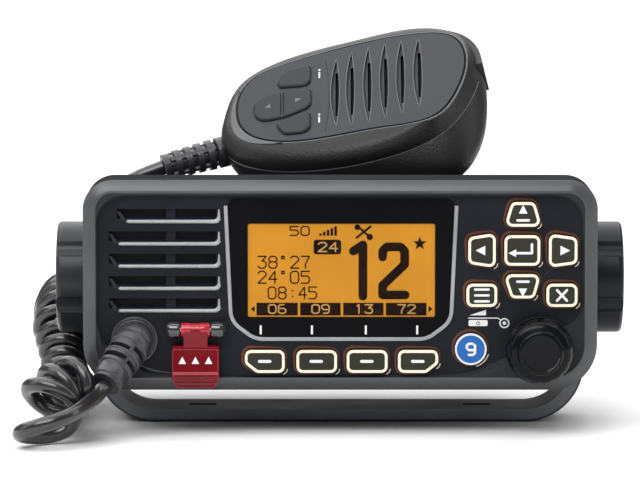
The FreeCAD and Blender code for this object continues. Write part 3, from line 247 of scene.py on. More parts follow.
def carve(piece, cutters):
    """Cuts the cutters out of a piece for good."""
    for cutter in cutters:
        cut = piece.modifiers.new("cut", "BOOLEAN")
        cut.operation = "DIFFERENCE"
        cut.solver = "EXACT"
        cut.object = cutter
    bpy.context.view_layer.update()
    seen = piece.evaluated_get(bpy.context.evaluated_depsgraph_get())
    mesh = bpy.data.meshes.new_from_object(seen)
    piece.modifiers.clear()
    piece.data = smoothed(mesh)
    for cutter in cutters:
        bpy.data.objects.remove(cutter)
    return piece


def cuboid(name, centre, axes, size):
    """A box about a centre, with its own three directions and its whole size along them."""
    a, b, c = (axis * length / 2 for axis, length in zip(axes, size))
    corners = ((-1, -1), (1, -1), (1, 1), (-1, 1))
    rings = [[centre + a * end + b * side + c * rise for side, rise in corners] for end in (-1, 1)]
    return loft(name, rings, smooth=False)


def ring_about(centre, side, other, radii):
    """A ring of points in the plane of two directions, with one radius for each point."""
    turns = [2 * pi * k / len(radii) for k in range(len(radii))]
    return [Vector(centre) + (side * cos(t) + other * sin(t)) * r for t, r in zip(turns, radii)]


def turned(name, profile, centre, along, steps=64, notches=0, depth=0.0, beyond=0.0):
    """A body of revolution from (radius, distance along the axis); notches cut where it is widest."""
    axis = Vector(along).normalized()
    side = axis.orthogonal().normalized()
    shares = [(0.5 + 0.5 * cos(notches * 2 * pi * k / steps)) ** 3 for k in range(steps)]
    rings = []
    for radius, far in profile:
        cut = depth if radius > beyond else 0.0
        radii = [radius - cut * share for share in shares]
        rings.append(ring_about(Vector(centre) + axis * far, side, axis.cross(side), radii))
    return loft(name, rings)


def bar(name, path, radii, steps=10):
    """A round bar along a path, with one radius for each point of it."""
    rings = []
    for i, radius in enumerate(radii):
        along = (Vector(path[min(i + 1, len(path) - 1)]) - Vector(path[max(i - 1, 0)])).normalized()
        side = along.cross(Vector((0, 1, 0))).normalized()
        rings.append(ring_about(path[i], side, along.cross(side), [radius] * steps))
    return loft(name, rings)


# ---- materials
LOOKS = {}
NODE_LOOKS = {}
PATCH_SCALE = 45.0
PATCH_RANGE = (0.3, 0.7)
SCREEN = {"shine": 0.05, "wear": 0}


def feed(material, node, inputs):
    """Gives a node's inputs a value each, or another node's output."""
    for name, value in inputs.items():
        if isinstance(value, bpy.types.NodeSocket):
            material.node_tree.links.new(value, node.inputs[name])
        else:
            node.inputs[name].default_value = value


def add_node(material, kind, inputs, output, **settings):
    """A shader node that is set and fed; gives back one of its outputs."""
    node = material.node_tree.nodes.new("ShaderNode" + kind)
    for name, value in settings.items():
        setattr(node, name, value)
    feed(material, node, inputs)
    return node.outputs[output]


def set_surface(material, inputs):
    feed(material, material.node_tree.nodes["Principled BSDF"], inputs)


def shader(name, colour, rough, metallic=0.0, coat=0.0, shine=0.2):
    """A plain material, kept in LOOKS under its name."""
    material = bpy.data.materials.new(name)
    material.use_nodes = True
    set_surface(material, {"Base Color": (*colour, 1), "Roughness": rough, "Metallic": metallic,
                           "Coat Weight": coat, "Specular IOR Level": shine})
    LOOKS[name] = material
    return material


def noise(material, scale, detail, stretch=None):
    """A noise texture in object space; stretch squeezes it along the axes."""
    place = add_node(material, "TexCoord", {}, "Object")
    if stretch:
        place = add_node(material, "Mapping", {"Vector": place, "Scale": stretch}, "Vector")
    return add_node(material, "TexNoise", {"Vector": place, "Scale": scale, "Detail": detail}, "Fac")


def mapped(material, value, start, end, low, high):
    """A value's range from start to end, mapped to low..high."""
    ends = {"From Min": start, "From Max": end, "To Min": low, "To Max": high}
    return add_node(material, "MapRange", {"Value": value, **ends}, "Result")


def mixed(material, share, first, second, blend="MIX"):
    """Two colours mixed by a share."""
    inputs = {"Factor": share, "A": first, "B": second}
    return add_node(material, "Mix", inputs, "Result", data_type="RGBA", blend_type=blend)


def alike(material, first, second):
    """How far two directions are the same: 1 the same, 0 at right angles."""
    return add_node(material, "VectorMath", {0: first, 1: second}, "Value", operation="DOT_PRODUCT")


def worn(material, bump, patches, colour, wear, edge):
    """Rounds the edges in the shading, and makes the patches paler along them."""
    soft = add_node(material, "Bevel", {"Radius": edge * MM}, "Normal", samples=4)
    feed(material, bump, {"Normal": soft})
    # where the rounded normal leaves the flat one, there is an edge
    leaving = alike(material, soft, add_node(material, "NewGeometry", {}, "Normal"))
    mask = mapped(material, leaving, 0.995, 0.85, 0, wear)
    return mixed(material, mask, patches, (*[c * 1.8 + 0.02 for c in colour], 1))


def finished(name, colour, rough, grain, depth, nodes="", spread=0.18, wear=0.5, edge=0.25, stretch=None,
             relief=0.05, **plain):
    """A material with a fine grain and broad patches, and paler edges where wear is above 0."""
    material = shader(name, colour, rough, **plain)
    NODE_LOOKS.update(dict.fromkeys(nodes.split(), name))
    fine = noise(material, grain, 2, stretch)
    broad = noise(material, PATCH_SCALE, 4)
    inputs = {"Strength": depth, "Distance": relief * MM, "Height": fine}
    relieved = add_node(material, "Bump", inputs, "Normal")
    dark, pale = [(*[c * (1 + way * spread) for c in colour], 1) for way in (-1, 1)]
    base = mixed(material, mapped(material, broad, *PATCH_RANGE, 0, 1), dark, pale)
    if wear > 0:
        base = worn(material, relieved.node, base, colour, wear, edge)
    patched = mapped(material, broad, *PATCH_RANGE, rough * 0.88, rough * 1.12)
    set_surface(material, {"Normal": relieved, "Base Color": base, "Roughness": patched})


def height_of(material):
    """The height over the table, in metres."""
    return add_node(material, "SeparateXYZ", {"Vector": add_node(material, "TexCoord", {}, "Object")}, "Z")


def frontness_of(material):
    """How far a face looks to the front: 1 straight to the front, 0 sideways."""
    return alike(material, add_node(material, "TexCoord", {}, "Normal"), (0, -1, 0))


def tint(look, value_of, start, end, share):
    """Multiplies a look's colour by share where a value is at start, and leaves it as it is at end."""
    material = LOOKS[look]
    colour = material.node_tree.nodes["Principled BSDF"].inputs["Base Color"].links[0].from_socket
    part = mapped(material, value_of(material), start, end, 1, 0)
    shade = mixed(material, part, colour, (share, share, share, 1), "MULTIPLY")
    set_surface(material, {"Base Color": shade})


# name, colour, roughness, fineness of the grain, its strength, and the CAD nodes that wear it
finished("housing_grey", (0.03, 0.031, 0.034), 0.6, 3200, 0.3, "front_housing", shine=0)
# a paler, shinier copy of the housing's plastic: painted highlight on the sloping rim and on the sweep at
# the fascia's foot
finished("bezel_painted_light", (0.048, 0.05, 0.055), 0.36, 3200, 0.22, shine=0.6)
finished("fascia_black", (0.0095, 0.0105, 0.015), 0.42, 3200, 0.28, "fascia", shine=0.12)
finished("case_black", (0.022, 0.023, 0.026), 0.5, 1700, 0.55, "chassis")
finished("bracket_black", (0.026, 0.027, 0.03), 0.4, 2200, 0.35, "bracket")
finished("clamp_black", (0.017, 0.018, 0.022), 0.33, 2400, 0.15, "bracket_knob_left", shine=0.3)
# painted shade: the right clamp knob gets a darker copy of the left one's plastic
finished("clamp_painted_shade", (0.008, 0.01, 0.015), 0.33, 2400, 0.15, "bracket_knob_right")
finished("handset_black", (0.012, 0.012, 0.013), 0.38, 1700, 1,
         "mic_front_shell mic_back_shell", shine=0.32, relief=0.13)
finished("handset_face", (0.036, 0.039, 0.044), 0.5, 2600, 0.4, "mic_key_high mic_key_rocker mic_key_low")
finished("handset_key", (0.022, 0.023, 0.026), 0.45, 2600, 0.3)
finished("key_top", (0.024, 0.024, 0.016), 0.45, 2800, 0.15)
finished("knob_gloss", (0.0024, 0.0028, 0.0038), 0.2, 900, 0.04,
         "volume_knob", coat=0.06, shine=0.12, wear=0.1)
finished("lug_gloss", (0.012, 0.012, 0.013), 0.1, 900, 0.03, coat=0.9, shine=0.6, wear=0.2)
finished("boot_rubber", (0.03, 0.03, 0.035), 0.32, 1300, 0.9,
         "cord_boot_front mic_boot keypad_mat mic_keypad front_seal rear_glands", shine=0.7, relief=0.12)
finished("cord_jacket", (0.011, 0.011, 0.013), 0.27, 900, 0.15,
         "cord_lead_front cord_coil cord_lead_mic", coat=0.35, shine=0.6, edge=0.05)
finished("grey_rubber", (0.045, 0.046, 0.05), 0.5, 2000, 0.35, "ptt_button")
finished("silver_trim", (0.3, 0.31, 0.33), 0.32, 3000, 0.12, "display_trim", metallic=0.6)
# pale grey for the louvre lips: the lips are real, their paleness is a painted highlight on their edges
finished("lip_grey", (0.33, 0.34, 0.35), 0.3, 3000, 0.12, "grille_trim", metallic=0.3, shine=0.6)
finished("steel", (0.45, 0.45, 0.46), 0.35, 900, 0.2,
         "encoder_shaft distress_hinge_pin speaker_basket case_screws rf_shield knob_washers "
         "knob_stud_left knob_stud_right hanger_stud", metallic=1, stretch=(1, 14, 1))
finished("nickel", (0.55, 0.53, 0.48), 0.22, 1200, 0.08, "antenna_socket", metallic=1)
finished("brass", (0.6, 0.44, 0.18), 0.3, 900, 0.15, "pivot_inserts", metallic=1)
finished("board_green", (0.012, 0.07, 0.035), 0.35, 700, 0.3, "control_board main_board mic_board")
finished("speaker_cloth", (0.004, 0.004, 0.005), 0.8, 2600, 1, "speaker_gauze speaker_cone")
finished("ferrite", (0.03, 0.03, 0.032), 0.6, 1500, 0.6, "speaker_magnet")
finished("inner_black", (0.004, 0.004, 0.005), 0.6, 2000, 0.3,
         "encoder_body mic_capsule power_module", shine=0.05)
finished("blue_cap", (0.016, 0.115, 0.38), 0.35, 2400, 0.1, "key_channel", spread=0.08, wear=0.1)
finished("red_plastic", (0.15, 0.002, 0.007), 0.18, 1400, 0.06,
         "distress_cover distress_button", spread=0.25, coat=0.12, wear=0.3)
# a lit copy of the red plastic: painted light on the hinge barrel, the cover's edge line and its stripe
finished("red_painted_light", (0.36, 0.01, 0.024), 0.12, 1400, 0.06, spread=0.25, coat=0.7, wear=0.3)
# pale colour for the keys' printed rings, and for painted highlights: the glints beside the keys
finished("pale_print_and_highlight", (0.8, 0.74, 0.58), 0.5, 2500, 0.15, spread=0.06, wear=0)
finished("white_print", (0.75, 0.75, 0.75), 0.5, 2500, 0.15, spread=0.06, wear=0)
finished("rim_amber", (0.105, 0.034, 0.016), 0.5, 2500, 0.15, spread=0.3, wear=0)
# pale grey for the handset seam and signs, and for painted highlights on the knob, the sweep's crest and
# the handset's crescent
finished("seam_and_highlight_grey", (0.12, 0.125, 0.13), 0.4, 2400, 0.2, spread=0.15, wear=0.2)
# pale grey for painted highlights: the hollows' rims and the line round the handset's face plate
finished("glint_grey", (0.19, 0.2, 0.21), 0.35, 2400, 0.2, spread=0.15, wear=0.2)
finished("window_black", (0.003, 0.003, 0.004), 0.1, 900, 0.01, shine=0.04, wear=0)
finished("window_glass", (0.9, 0.9, 0.9), 0.03, 300, 0.01,
         "display_window", spread=0.02, shine=0.04, wear=0)
finished("lcd_amber", (0.45, 0.19, 0.016), 0.5, 1600, 0.05, spread=0.05, **SCREEN)
finished("lcd_pale", (0.5, 0.3, 0.09), 0.5, 2500, 0.05, spread=0.05, **SCREEN)
finished("lcd_ink", (0.016, 0.006, 0.003), 0.4, 2500, 0.05, spread=0.1, **SCREEN)
finished("lcd_frame", (0.006, 0.006, 0.007), 0.25, 900, 0.03, "lcd_module", **SCREEN)

# painted shade: the rim's colour darkened towards the bottom
tint("bezel_painted_light", height_of, 0.0144, 0.0174, 0.3)
# painted light: the bracket's colour made up to six times paler on faces that look to the front
tint("bracket_black", frontness_of, 1, 0.8, 6)
for lit, glow, strength in (
        ("lcd_amber", (0.8, 0.35, 0.03, 1), 0.4),
        ("lcd_pale", (0.8, 0.45, 0.12, 1), 0.25),
        # the pale rings and the painted glints glow a little
        ("pale_print_and_highlight", (0.9, 0.8, 0.6, 1), 0.1)):
    set_surface(LOOKS[lit], {"Emission Color": glow, "Emission Strength": strength})
set_surface(LOOKS["window_glass"], {"Transmission Weight": 1, "IOR": 1.08})


def dress_nodes():
    """Gives every CAD node its look."""
    for name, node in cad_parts.items():
        look = LOOKS[NODE_LOOKS.get(name, "key_top")]
        part = node if isinstance(node, bpy.types.Object) else bpy.data.objects[name]
        for place in part.material_slots:
            place.material = look
        if not part.material_slots:
            part.data.materials.append(look)


# ---- camera, floor and light
CAMERA_PLACE = (-6.15, -1436.1, 194)
CAMERA_DROP = 5.5
CAMERA_LENS = 259.4
FLOOR_HALF = 9000


def add_camera():
    """A long lens in front of the radio that looks down by CAMERA_DROP degrees."""
    data = bpy.data.cameras.new("camera")
    data.sensor_width = 36.0
    data.lens = CAMERA_LENS
    data.clip_start = 0.05
    data.clip_end = 50.0
    camera = placed("camera", data)
    camera.location = Vector(CAMERA_PLACE) * MM
    camera.rotation_euler = (radians(90 - CAMERA_DROP), 0, 0)
    bpy.context.scene.camera = camera


def add_light(name, place, size, power, target=(0, 0, 50)):
    """A rectangular light; its size is in metres and its power in watts."""
    data = bpy.data.lights.new(name, "AREA")
    data.shape = "RECTANGLE"
    data.size, data.size_y = size
    data.energy = power
    lamp = placed(name, data)
    lamp.location = Vector(place) * MM
    aim = (Vector(target) - Vector(place)).normalized()
    lamp.rotation_mode = "QUATERNION"
    lamp.rotation_quaternion = aim.to_track_quat("-Z", "Y")


def add_studio():
    corners = block(-FLOOR_HALF, FLOOR_HALF, -FLOOR_HALF, FLOOR_HALF)
    floor = mesh_object("floor", [(x, y, 0) for x, y in corners], [(0, 1, 2, 3)], smooth=False)
    floor.data.materials.append(shader("floor_pale", (0.9, 0.9, 0.9), 0.9))
    world = bpy.data.worlds.new("studio")
    world.use_nodes = True
    background = world.node_tree.nodes["Background"]
    background.inputs["Color"].default_value = (1, 1, 1, 1)
    background.inputs["Strength"].default_value = 0.3
    bpy.context.scene.world = world
    bpy.context.scene.view_settings.view_transform = "Standard"
    add_light("top", (-300, 1900, 1700), (3.4, 5.2), 105, target=(-300, 1900, 0))
    add_light("left", (-1100, -200, 600), (0.5, 0.9), 2)
    add_light("right", (1000, -100, 500), (0.3, 0.8), 1.5)
    add_light("key", (-300, -800, 850), (1, 0.55), 10)


# ---- display
WINDOW_OUTLINE = [
    (-34.4, 25.3, 2.5), (34.9, 25.3, 2.5), (33.2, -11.8, 6), (26.3, -17, 7),
    (-25.8, -17, 7), (-32.7, -11.8, 6)]
WINDOW_FRONT = -40.9
LCD = block(-28.1, 28.8, -10.75, 17.7)
LCD_FACE = -40.2
INK = 0.05

# the lines of each figure, split by a stroke, on a grid 4 wide and 6 high
FIGURES = {
    "0": "0,1 0,5 1,6 3,6 4,5 4,1 3,0 1,0 0,1",
    "1": "1,5 2,6 2,0",
    "2": "0,5 1,6 3,6 4,5 4,4 0,0 4,0",
    "3": "0,6 4,6 2,3.6 3,3.6 4,2.6 4,1 3,0 1,0 0,1",
    "4": "3,0 3,6 0,2 4,2",
    "5": "4,6 0,6 0,3.6 3,3.6 4,2.6 4,1 3,0 0,0",
    "6": "3,6 1,6 0,5 0,1 1,0 3,0 4,1 4,2.4 3,3.4 0,3.4",
    "7": "0,6 4,6 2,2 2,0",
    "8": "1,3.2 0,4 0,5 1,6 3,6 4,5 4,4 3,3.2 1,3.2 0,2.4 0,1 1,0 3,0 4,1 4,2.4 3,3.2",
    "9": "1,0 3,0 4,1 4,5 3,6 1,6 0,5 0,3.6 1,2.6 4,2.6",
    ":": "2,1 2,1.3/2,4 2,4.3",
    "o": "1,6 2.2,6 2.2,4.8 1,4.8 1,6",
    " ": "",
}


def figures(words, left, low, wide, high, width):
    """Flat shapes of a row of figures; wide is the step from one to the next."""
    shapes = []
    for index, letter in enumerate(words):
        for line in FIGURES[letter].split("/"):
            spots = [[float(value) for value in spot.split(",")] for spot in line.split()]
            spots = [(left + (index + x / 4 * 0.74) * wide, low + y / 6 * high) for x, y in spots]
            shapes += stroke(spots, width)
    return shapes


def star(x, up, radius):
    """Ten thin triangles that meet in a star of five points."""
    return [[(x, up), around(x, up, radius, turn), around(x, up, radius * 0.42, turn + aside)]
            for turn in range(90, 450, 72) for aside in (-36, 36)]


def add_window():
    """The black window with its clear pane, the glowing display and the ticks over the soft keys."""
    hole = rounded(LCD, 0.5, 3)
    mask = pierced("window_mask", rounded(WINDOW_OUTLINE), [hole], WINDOW_FRONT, WINDOW_FRONT + 0.5)
    dress(mask, "window_black", "radio", "window_glass", "display_window")
    pane = plate("window_pane", grown(hole, -0.02), WINDOW_FRONT + 0.05, WINDOW_FRONT + 0.25)
    dress(pane, "window_glass", "radio", "window_glass", "display_window")
    glow = plate("lcd_glow", grown(hole, 0.6), LCD_FACE, LCD_FACE + 0.6)
    dress(glow, "lcd_amber", "radio", "display_amber")
    ticks = [block(x - 0.3, x + 0.3, -16.1, -13.4) for x in (-24.2, -8.6, 7.8, 23.45)]
    ticks = flat("window_ticks", ticks, WINDOW_FRONT - INK, WINDOW_FRONT + INK)
    dress(ticks, "white_print", "radio", "key_black")


def add_figures():
    """Made-up figures and signs on the display."""
    shapes = figures("50", -15.2, 14.1, 3.3, 2.7, 0.42)
    shapes += [block(-6.4 + k * 1.15, -5.6 + k * 1.15, 14, 14.7 + k * 0.55) for k in range(5)]
    shapes += figures("38o27", -25, 4.1, 3.3, 3.6, 0.42)
    shapes += figures("24o05", -25, -0.5, 3.3, 3.6, 0.42)
    shapes += figures(" 08:45", -25, -5.3, 3.1, 3.6, 0.42)
    shapes += star(24.2, 11.6, 2.2)
    # the channel figures
    one = [(4, 9.3), (6.9, 11.2), (6.9, -4.5)]
    two = [(12.9, 7.5), (12.9, 9.3), (14.2, 10.6), (18.3, 10.6), (19.6, 9.3), (19.6, 5.2), (12.9, -1.2),
           (12.9, -4.1), (19.8, -4.1)]
    shapes += stroke(one, 2.7) + stroke(two, 2.7)
    # a small plug mark beside the signal bars
    shapes += stroke([(5, 13.4), (9.2, 16.8)], 0.7) + stroke([(5.4, 16.8), (9, 13.6)], 0.7)
    shapes += [disc(5.2, 16.6, 0.9, 12), disc(9, 13.6, 1, 12)]
    # dark boxes with pale figures
    boxes = ((-25.5, -12.9), (-12.2, 0.15), (0.9, 13.2), (13.9, 26.3))
    shapes += [block(left, right, -10.4, -6.5) for left, right in boxes]
    shapes += [rounded(block(-8.1, 0.3, 8.3, 12.8), 0.9)]
    shapes += [[(-27.2, -8.4), (-26, -9.4), (-26, -7.4)], [(26.9, -9.4), (28.1, -8.4), (26.9, -7.4)]]
    dress(flat("lcd_figures", shapes, LCD_FACE - INK, LCD_FACE + INK), "lcd_ink", "radio", "display_amber")
    pale = []
    for words, left in (("06", -21.8), ("09", -8.6), ("13", 4.6), ("72", 17.6)):
        pale += figures(words, left, -9.7, 3, 2.6, 0.4)
    pale += figures("24", -6.6, 9.2, 3.3, 2.7, 0.42)
    pale = flat("lcd_pale_figures", pale, LCD_FACE - 2 * INK, LCD_FACE)
    dress(pale, "lcd_pale", "radio", "display_amber")


# ---- keys
KEY_OUTLINES = {
    "key_up": [(49.8, 17), (61.2, 17), (59, 24.4), (52, 24.4)],
    "key_down": [(52, -4.9), (59, -4.9), (61, 2.4), (49.6, 2.4)],
    "key_left": [(38.9, 5.7), (47.2, 4.4), (47.2, 15), (38.9, 13.7)],
    "key_right": [(63.4, 4.5), (72, 5.7), (72, 13.6), (63.4, 14.8)],
    "key_enter": block(49.9, 60.7, 5.1, 14.3),
    "key_menu": block(38.4, 47.7, -7.5, -0.5),
    "key_clear": block(62.7, 72.1, -7.5, -0.5),
    "soft_key_1": [(-25.4, -27.7), (-16.9, -27.7), (-16.9, -20.8), (-29, -20.8), (-29, -24.9)],
    "soft_key_2": block(-13.3, -1, -27.7, -20.8),
    "soft_key_3": block(2, 14.4, -27.7, -20.8),
    "soft_key_4": [(17.6, -27.7), (26.2, -27.7), (29.8, -24.9), (29.8, -20.8), (17.6, -20.8)],
}
KEY_MARKS = {
    "key_up": [arrow(55.5, 21.9, 90, 1.7)] + stroke([(53.8, 18.9), (57.2, 18.9)], 0.75),
    "key_down": [arrow(55.5, -2.8, -90, 1.7)] + stroke([(53.8, 0.2), (57.2, 0.2)], 0.75),
    "key_left": [arrow(43, 9.7, 180, 1.9)],
    "key_right": [arrow(67.9, 9.7, 0, 1.9)],
    "key_enter": stroke([(58.2, 11.6), (58.2, 8.9), (52.6, 8.9)], 0.75) + [arrow(52.6, 8.9, 180, 1.5)],
    "key_menu": sum([stroke([(41, up), (45.1, up)], 0.7) for up in (-2.2, -4, -5.8)], []),
    "key_clear": stroke([(65.9, -2.4), (68.9, -5.6)], 0.75) + stroke([(65.9, -5.6), (68.9, -2.4)], 0.75),
}
for number, start in enumerate((-24.6, -8.9, 6.5, 22)):
    KEY_MARKS["soft_key_%d" % (number + 1)] = stroke([(start, -24.2), (start + 3.2, -24.2)], 0.9)
CHANNEL_KEY = (39.75, -20.5, 4.8)


def on_fascia(piece, look):
    return dress(piece, look, "radio", "fascia_plastic")


def fascia_print(name, shapes, look, raised=0.1, sunk=0.1):
    """Flat shapes on the fascia, raised above it by a little."""
    return on_fascia(flat(name, shapes, FASCIA_FRONT - raised, FASCIA_FRONT + sunk), look)


def key_print(name, shapes):
    return flat(name, shapes, KEY_FRONT - 0.06, KEY_FRONT + 0.1)


def light_leak(name, outline, centre):
    """The amber light round a key: widest above it and to its left."""
    inner = grown(outline, 0.4)
    outer = []
    for (x, up), (far_x, far_up) in zip(inner, grown(outline, 1.25)):
        turn = atan2(up - centre[1], x - centre[0])
        share = 0.22 + 0.78 * (0.5 + 0.5 * cos(turn - radians(125))) ** 1.5
        outer.append((x + (far_x - x) * share, up + (far_up - up) * share))
    on_fascia(hoop(name, outer, inner, FASCIA_FRONT - 0.12, FASCIA_FRONT + 0.1), "rim_amber")


def add_key(name, corners):
    """A key's cap with its pale ring, its mark, the light round it and a painted glint at its lower right.
    """
    outline = rounded(corners, 1.9)
    cap = bevelled(plate(name + "_cap", outline, KEY_FRONT, FASCIA_FRONT + 1.9), 0.2)
    dress(cap, "key_top", name, "key_black", name)
    ring = band(name + "_ring", grown(outline, 0.03), 0.85, KEY_FRONT - 0.14, KEY_FRONT + 0.9)
    dress(bevelled(ring, 0.12), "pale_print_and_highlight", name, "key_black", name)
    dress(key_print(name + "_mark", KEY_MARKS[name]), "white_print", name, "key_black", name)
    light_leak(name + "_rim", outline, [sum(values) / len(outline) for values in zip(*outline)])
    x, up = max(outline, key=lambda p: p[0] - 1.2 * p[1])
    # painted highlight: a pale stroke at the key's lower right
    glint = stroke([(x + 0.3, up - 1.2), (x + 1.1, up - 0.6), (x + 1.4, up + 0.3)], 0.22)
    fascia_print(name + "_glint", glint, "pale_print_and_highlight")


def add_channel_key():
    """The round key's ring, its figure, the light round it and its painted glint; its cap is the CAD's."""
    x, up, radius = CHANNEL_KEY
    ring = band("key_channel_ring", disc(x, up, radius + 0.02, 56), 0.55, KEY_FRONT - 0.1, KEY_FRONT + 0.9)
    dress(bevelled(ring, 0.1), "white_print", "key_channel", "key_blue")
    mark = key_print("key_channel_mark", figures("9", x - 1.25, up - 1.7, 3.4, 3.4, 0.72))
    dress(mark, "white_print", "key_channel", "key_blue")
    light_leak("key_channel_rim", disc(x, up, radius, 56), (x, up))
    # painted highlight: a pale arc at the key's lower right
    glint = stroke(arc(x, up, radius + 0.9, -72, -18, 12), 0.24)
    fascia_print("key_channel_glint", glint, "pale_print_and_highlight", 0.15)


def add_fascia_sweeps():
    """The two short curved lines on either side of the down key."""
    sweep = []
    for side in (-1, 1):
        sweep += stroke([(55.4 + side * (9.6 - dx), 3.9 - dup) for dx, dup in
                         ((0, 0), (1.3, 0.5), (2.4, 1.4), (3, 2.6), (3.2, 4.2))], 0.3)
    fascia_print("fascia_sweeps", sweep, "housing_grey")


# ---- bezel and louvre lips
SWEEP = [
    (-67, -21), (-62, -25), (-57, -27.3), (-45.8, -28.7), (-35, -29.5), (-10, -29.75), (17.6, -29.7),
    (33.5, -29.1), (49, -27), (60.9, -23.9), (70.6, -18.7), (74.6, -13.9)]
# the fascia's lower corners: how far out their arcs begin, their middle's height and their radius
CORNER_X, CORNER_UP, CORNER_RADIUS = 64.25, -19.1, 11.0
LOUVRE_STEP = 6.83


def bezel_line(inset):
    side, low, high = 78.25 - inset, inset - 33.1, 31.0 - inset
    return rounded([(-side, high, 9 - inset), (side, high, 9 - inset), (side, low, 14 - inset),
                    (-side, low, 14 - inset)], steps=14)


def add_bezel():
    """The sloping rim of the housing, in a paler and shinier copy of the housing's plastic: a painted
    highlight.
    """
    rows = [(0.25, -40.6), (-0.03, -40.75), (0, -40.98), (0.18, -41.18), (3.05, -42.5), (3.25, -42.57),
            (3.9, -42.58), (3.9, -42.2), (3.2, -42)]
    rings = [on_panel(bezel_line(inset), y) for inset, y in rows]
    dress(loft("bezel_rim", rings, closed=True), "bezel_painted_light", "radio", "housing_plastic")


def add_sweep():
    """A painted highlight: the paler field that rises from the foot of the fascia to its corners, where the
    lower wall catches the light, and a pale line along its crest.
    """
    crest = [(spot.x, spot.z) for spot in followed([(x, 0, up) for x, up in SWEEP])]
    feet = []
    for x, up in crest:
        beyond = max(0, abs(x) - CORNER_X)
        feet.append((x, CORNER_UP - sqrt(CORNER_RADIUS ** 2 - beyond ** 2)))
    field = [[feet[i], feet[i + 1], crest[i + 1], crest[i]] for i in range(len(crest) - 1)]
    # painted highlight: the field in the paler rim colour, and a pale line along its crest
    fascia_print("fascia_sweep_painted_light", field, "bezel_painted_light", 0.08)
    fascia_print("fascia_sweep_painted_highlight", stroke(crest, 0.24), "seam_and_highlight_grey", 0.14)


def add_louvre_lips():
    """A round lip along the bottom of each louvre, turned up at its right end, and a mark at its left; the
    lips' pale grey is a painted highlight on their edges.
    """
    radii = [0.2, 0.56, 0.6, 0.64, 0.74, 0.68, 0.42, 0.26, 0.1]
    for index in range(5):
        drop = LOUVRE_STEP * index
        left = -65.0 if index == 0 else -67.5
        run = [(left, 18.4), (left + 0.5, 18.4), (-40, 18.4), (-38.2, 18.4), (-37.4, 18.65), (-36.95, 19.2),
               (-36.85, 20), (-36.85, 21.8), (-36.85, 22.1)]
        path = on_panel([(x, up - drop) for x, up in run], FASCIA_FRONT - 0.1)
        lip = bar("louvre_lip_%d" % index, path, radii)
        # painted highlight: the pale grey stands for the light the lip's edge catches
        dress(lip, "lip_grey", "radio", "bright_trim", "grille_trim")
        corners = [(-0.5, 18.3), (-1.3, 18.7), (-2.9, 21.4), (-1.9, 21.4), (-0.2, 18.9)]
        mark = [(left + dx, up - drop) for dx, up in corners]
        mark = flat("louvre_mark_%d" % index, [mark], FASCIA_FRONT - 0.12, FASCIA_FRONT + 0.05)
        dress(mark, "housing_grey", "radio", "bright_trim", "grille_trim")


def add_knob_label():
    """The volume mark: a wedge over a line that ends in a ring, and a power sign in a pale box."""
    x, up = 50, -12.7
    shapes = stroke([(39.1, -11.15), (48, -11.15), (x - 1, up + 0.9)], 0.28)
    shapes += stroke(arc(x, up, 1.35, 0, 360, 28), 0.42) + [disc(x, up, 0.55, 14)]
    shapes += [[(39.4, -10.3), (44.4, -10.3), (44.4, -8.6)], rounded(block(39.1, 44.9, -13.6, -11.75), 0.5)]
    fascia_print("knob_label", shapes, "white_print", INK, INK)
    sign = stroke(arc(42, -12.75, 0.52, 125, 415, 14), 0.2) + stroke([(42, -12.6), (42, -12.05)], 0.2)
    fascia_print("knob_power_sign", sign, "fascia_black", 2 * INK, 0)


# ---- volume knob and distress key
VOLUME_X, VOLUME_UP, VOLUME_BACK = 60.6, -20.5, -43.3
DISTRESS_X = -44.0
DISTRESS_HALF = 7.2
DISTRESS_BACK = -42.8
HINGE = (DISTRESS_X, -43, PANEL_MID - 14.5)
NECK_HALF, NECK_BACK = 3.7, -43.6


def add_volume_knob():
    # radius, and how far it stands out in front of the knob's back
    profile = [
        (1.6, 0), (9.9, 0), (10.3, 0.3), (10.3, 1.1), (9.9, 1.5), (9.75, 1.9), (10.1, 2.3), (10.15, 4.6),
        (9.9, 6.2), (9.3, 7.4), (8.5, 8.2), (7.5, 8.6), (7.1, 8.7), (7, 9.3), (6.75, 10), (6.4, 10.4),
        (6, 10.55), (5.5, 10.6), (5.3, 10.45), (0.05, 10.3)]
    knob = turned("volume_knob_body", profile, (VOLUME_X, VOLUME_BACK, PANEL_MID + VOLUME_UP), (0, -1, 0),
                  steps=192, notches=16, depth=0.15, beyond=9.0)
    dress(knob, "knob_gloss", "volume_knob", "knob_plastic", "volume_knob")
    # painted highlight: a thin pale arc on the cap's ring at its lower right
    line = stroke(arc(VOLUME_X, VOLUME_UP, 5.75, -70, -15, 14), 0.2)
    glint = flat("volume_knob_painted_highlight", line, VOLUME_BACK - 10.62, VOLUME_BACK - 10.3)
    dress(glint, "seam_and_highlight_grey", "volume_knob", "knob_plastic", "volume_knob")


def on_cover(piece, look, *nodes):
    return dress(piece, look, "distress_cover", "red_plastic", *nodes)


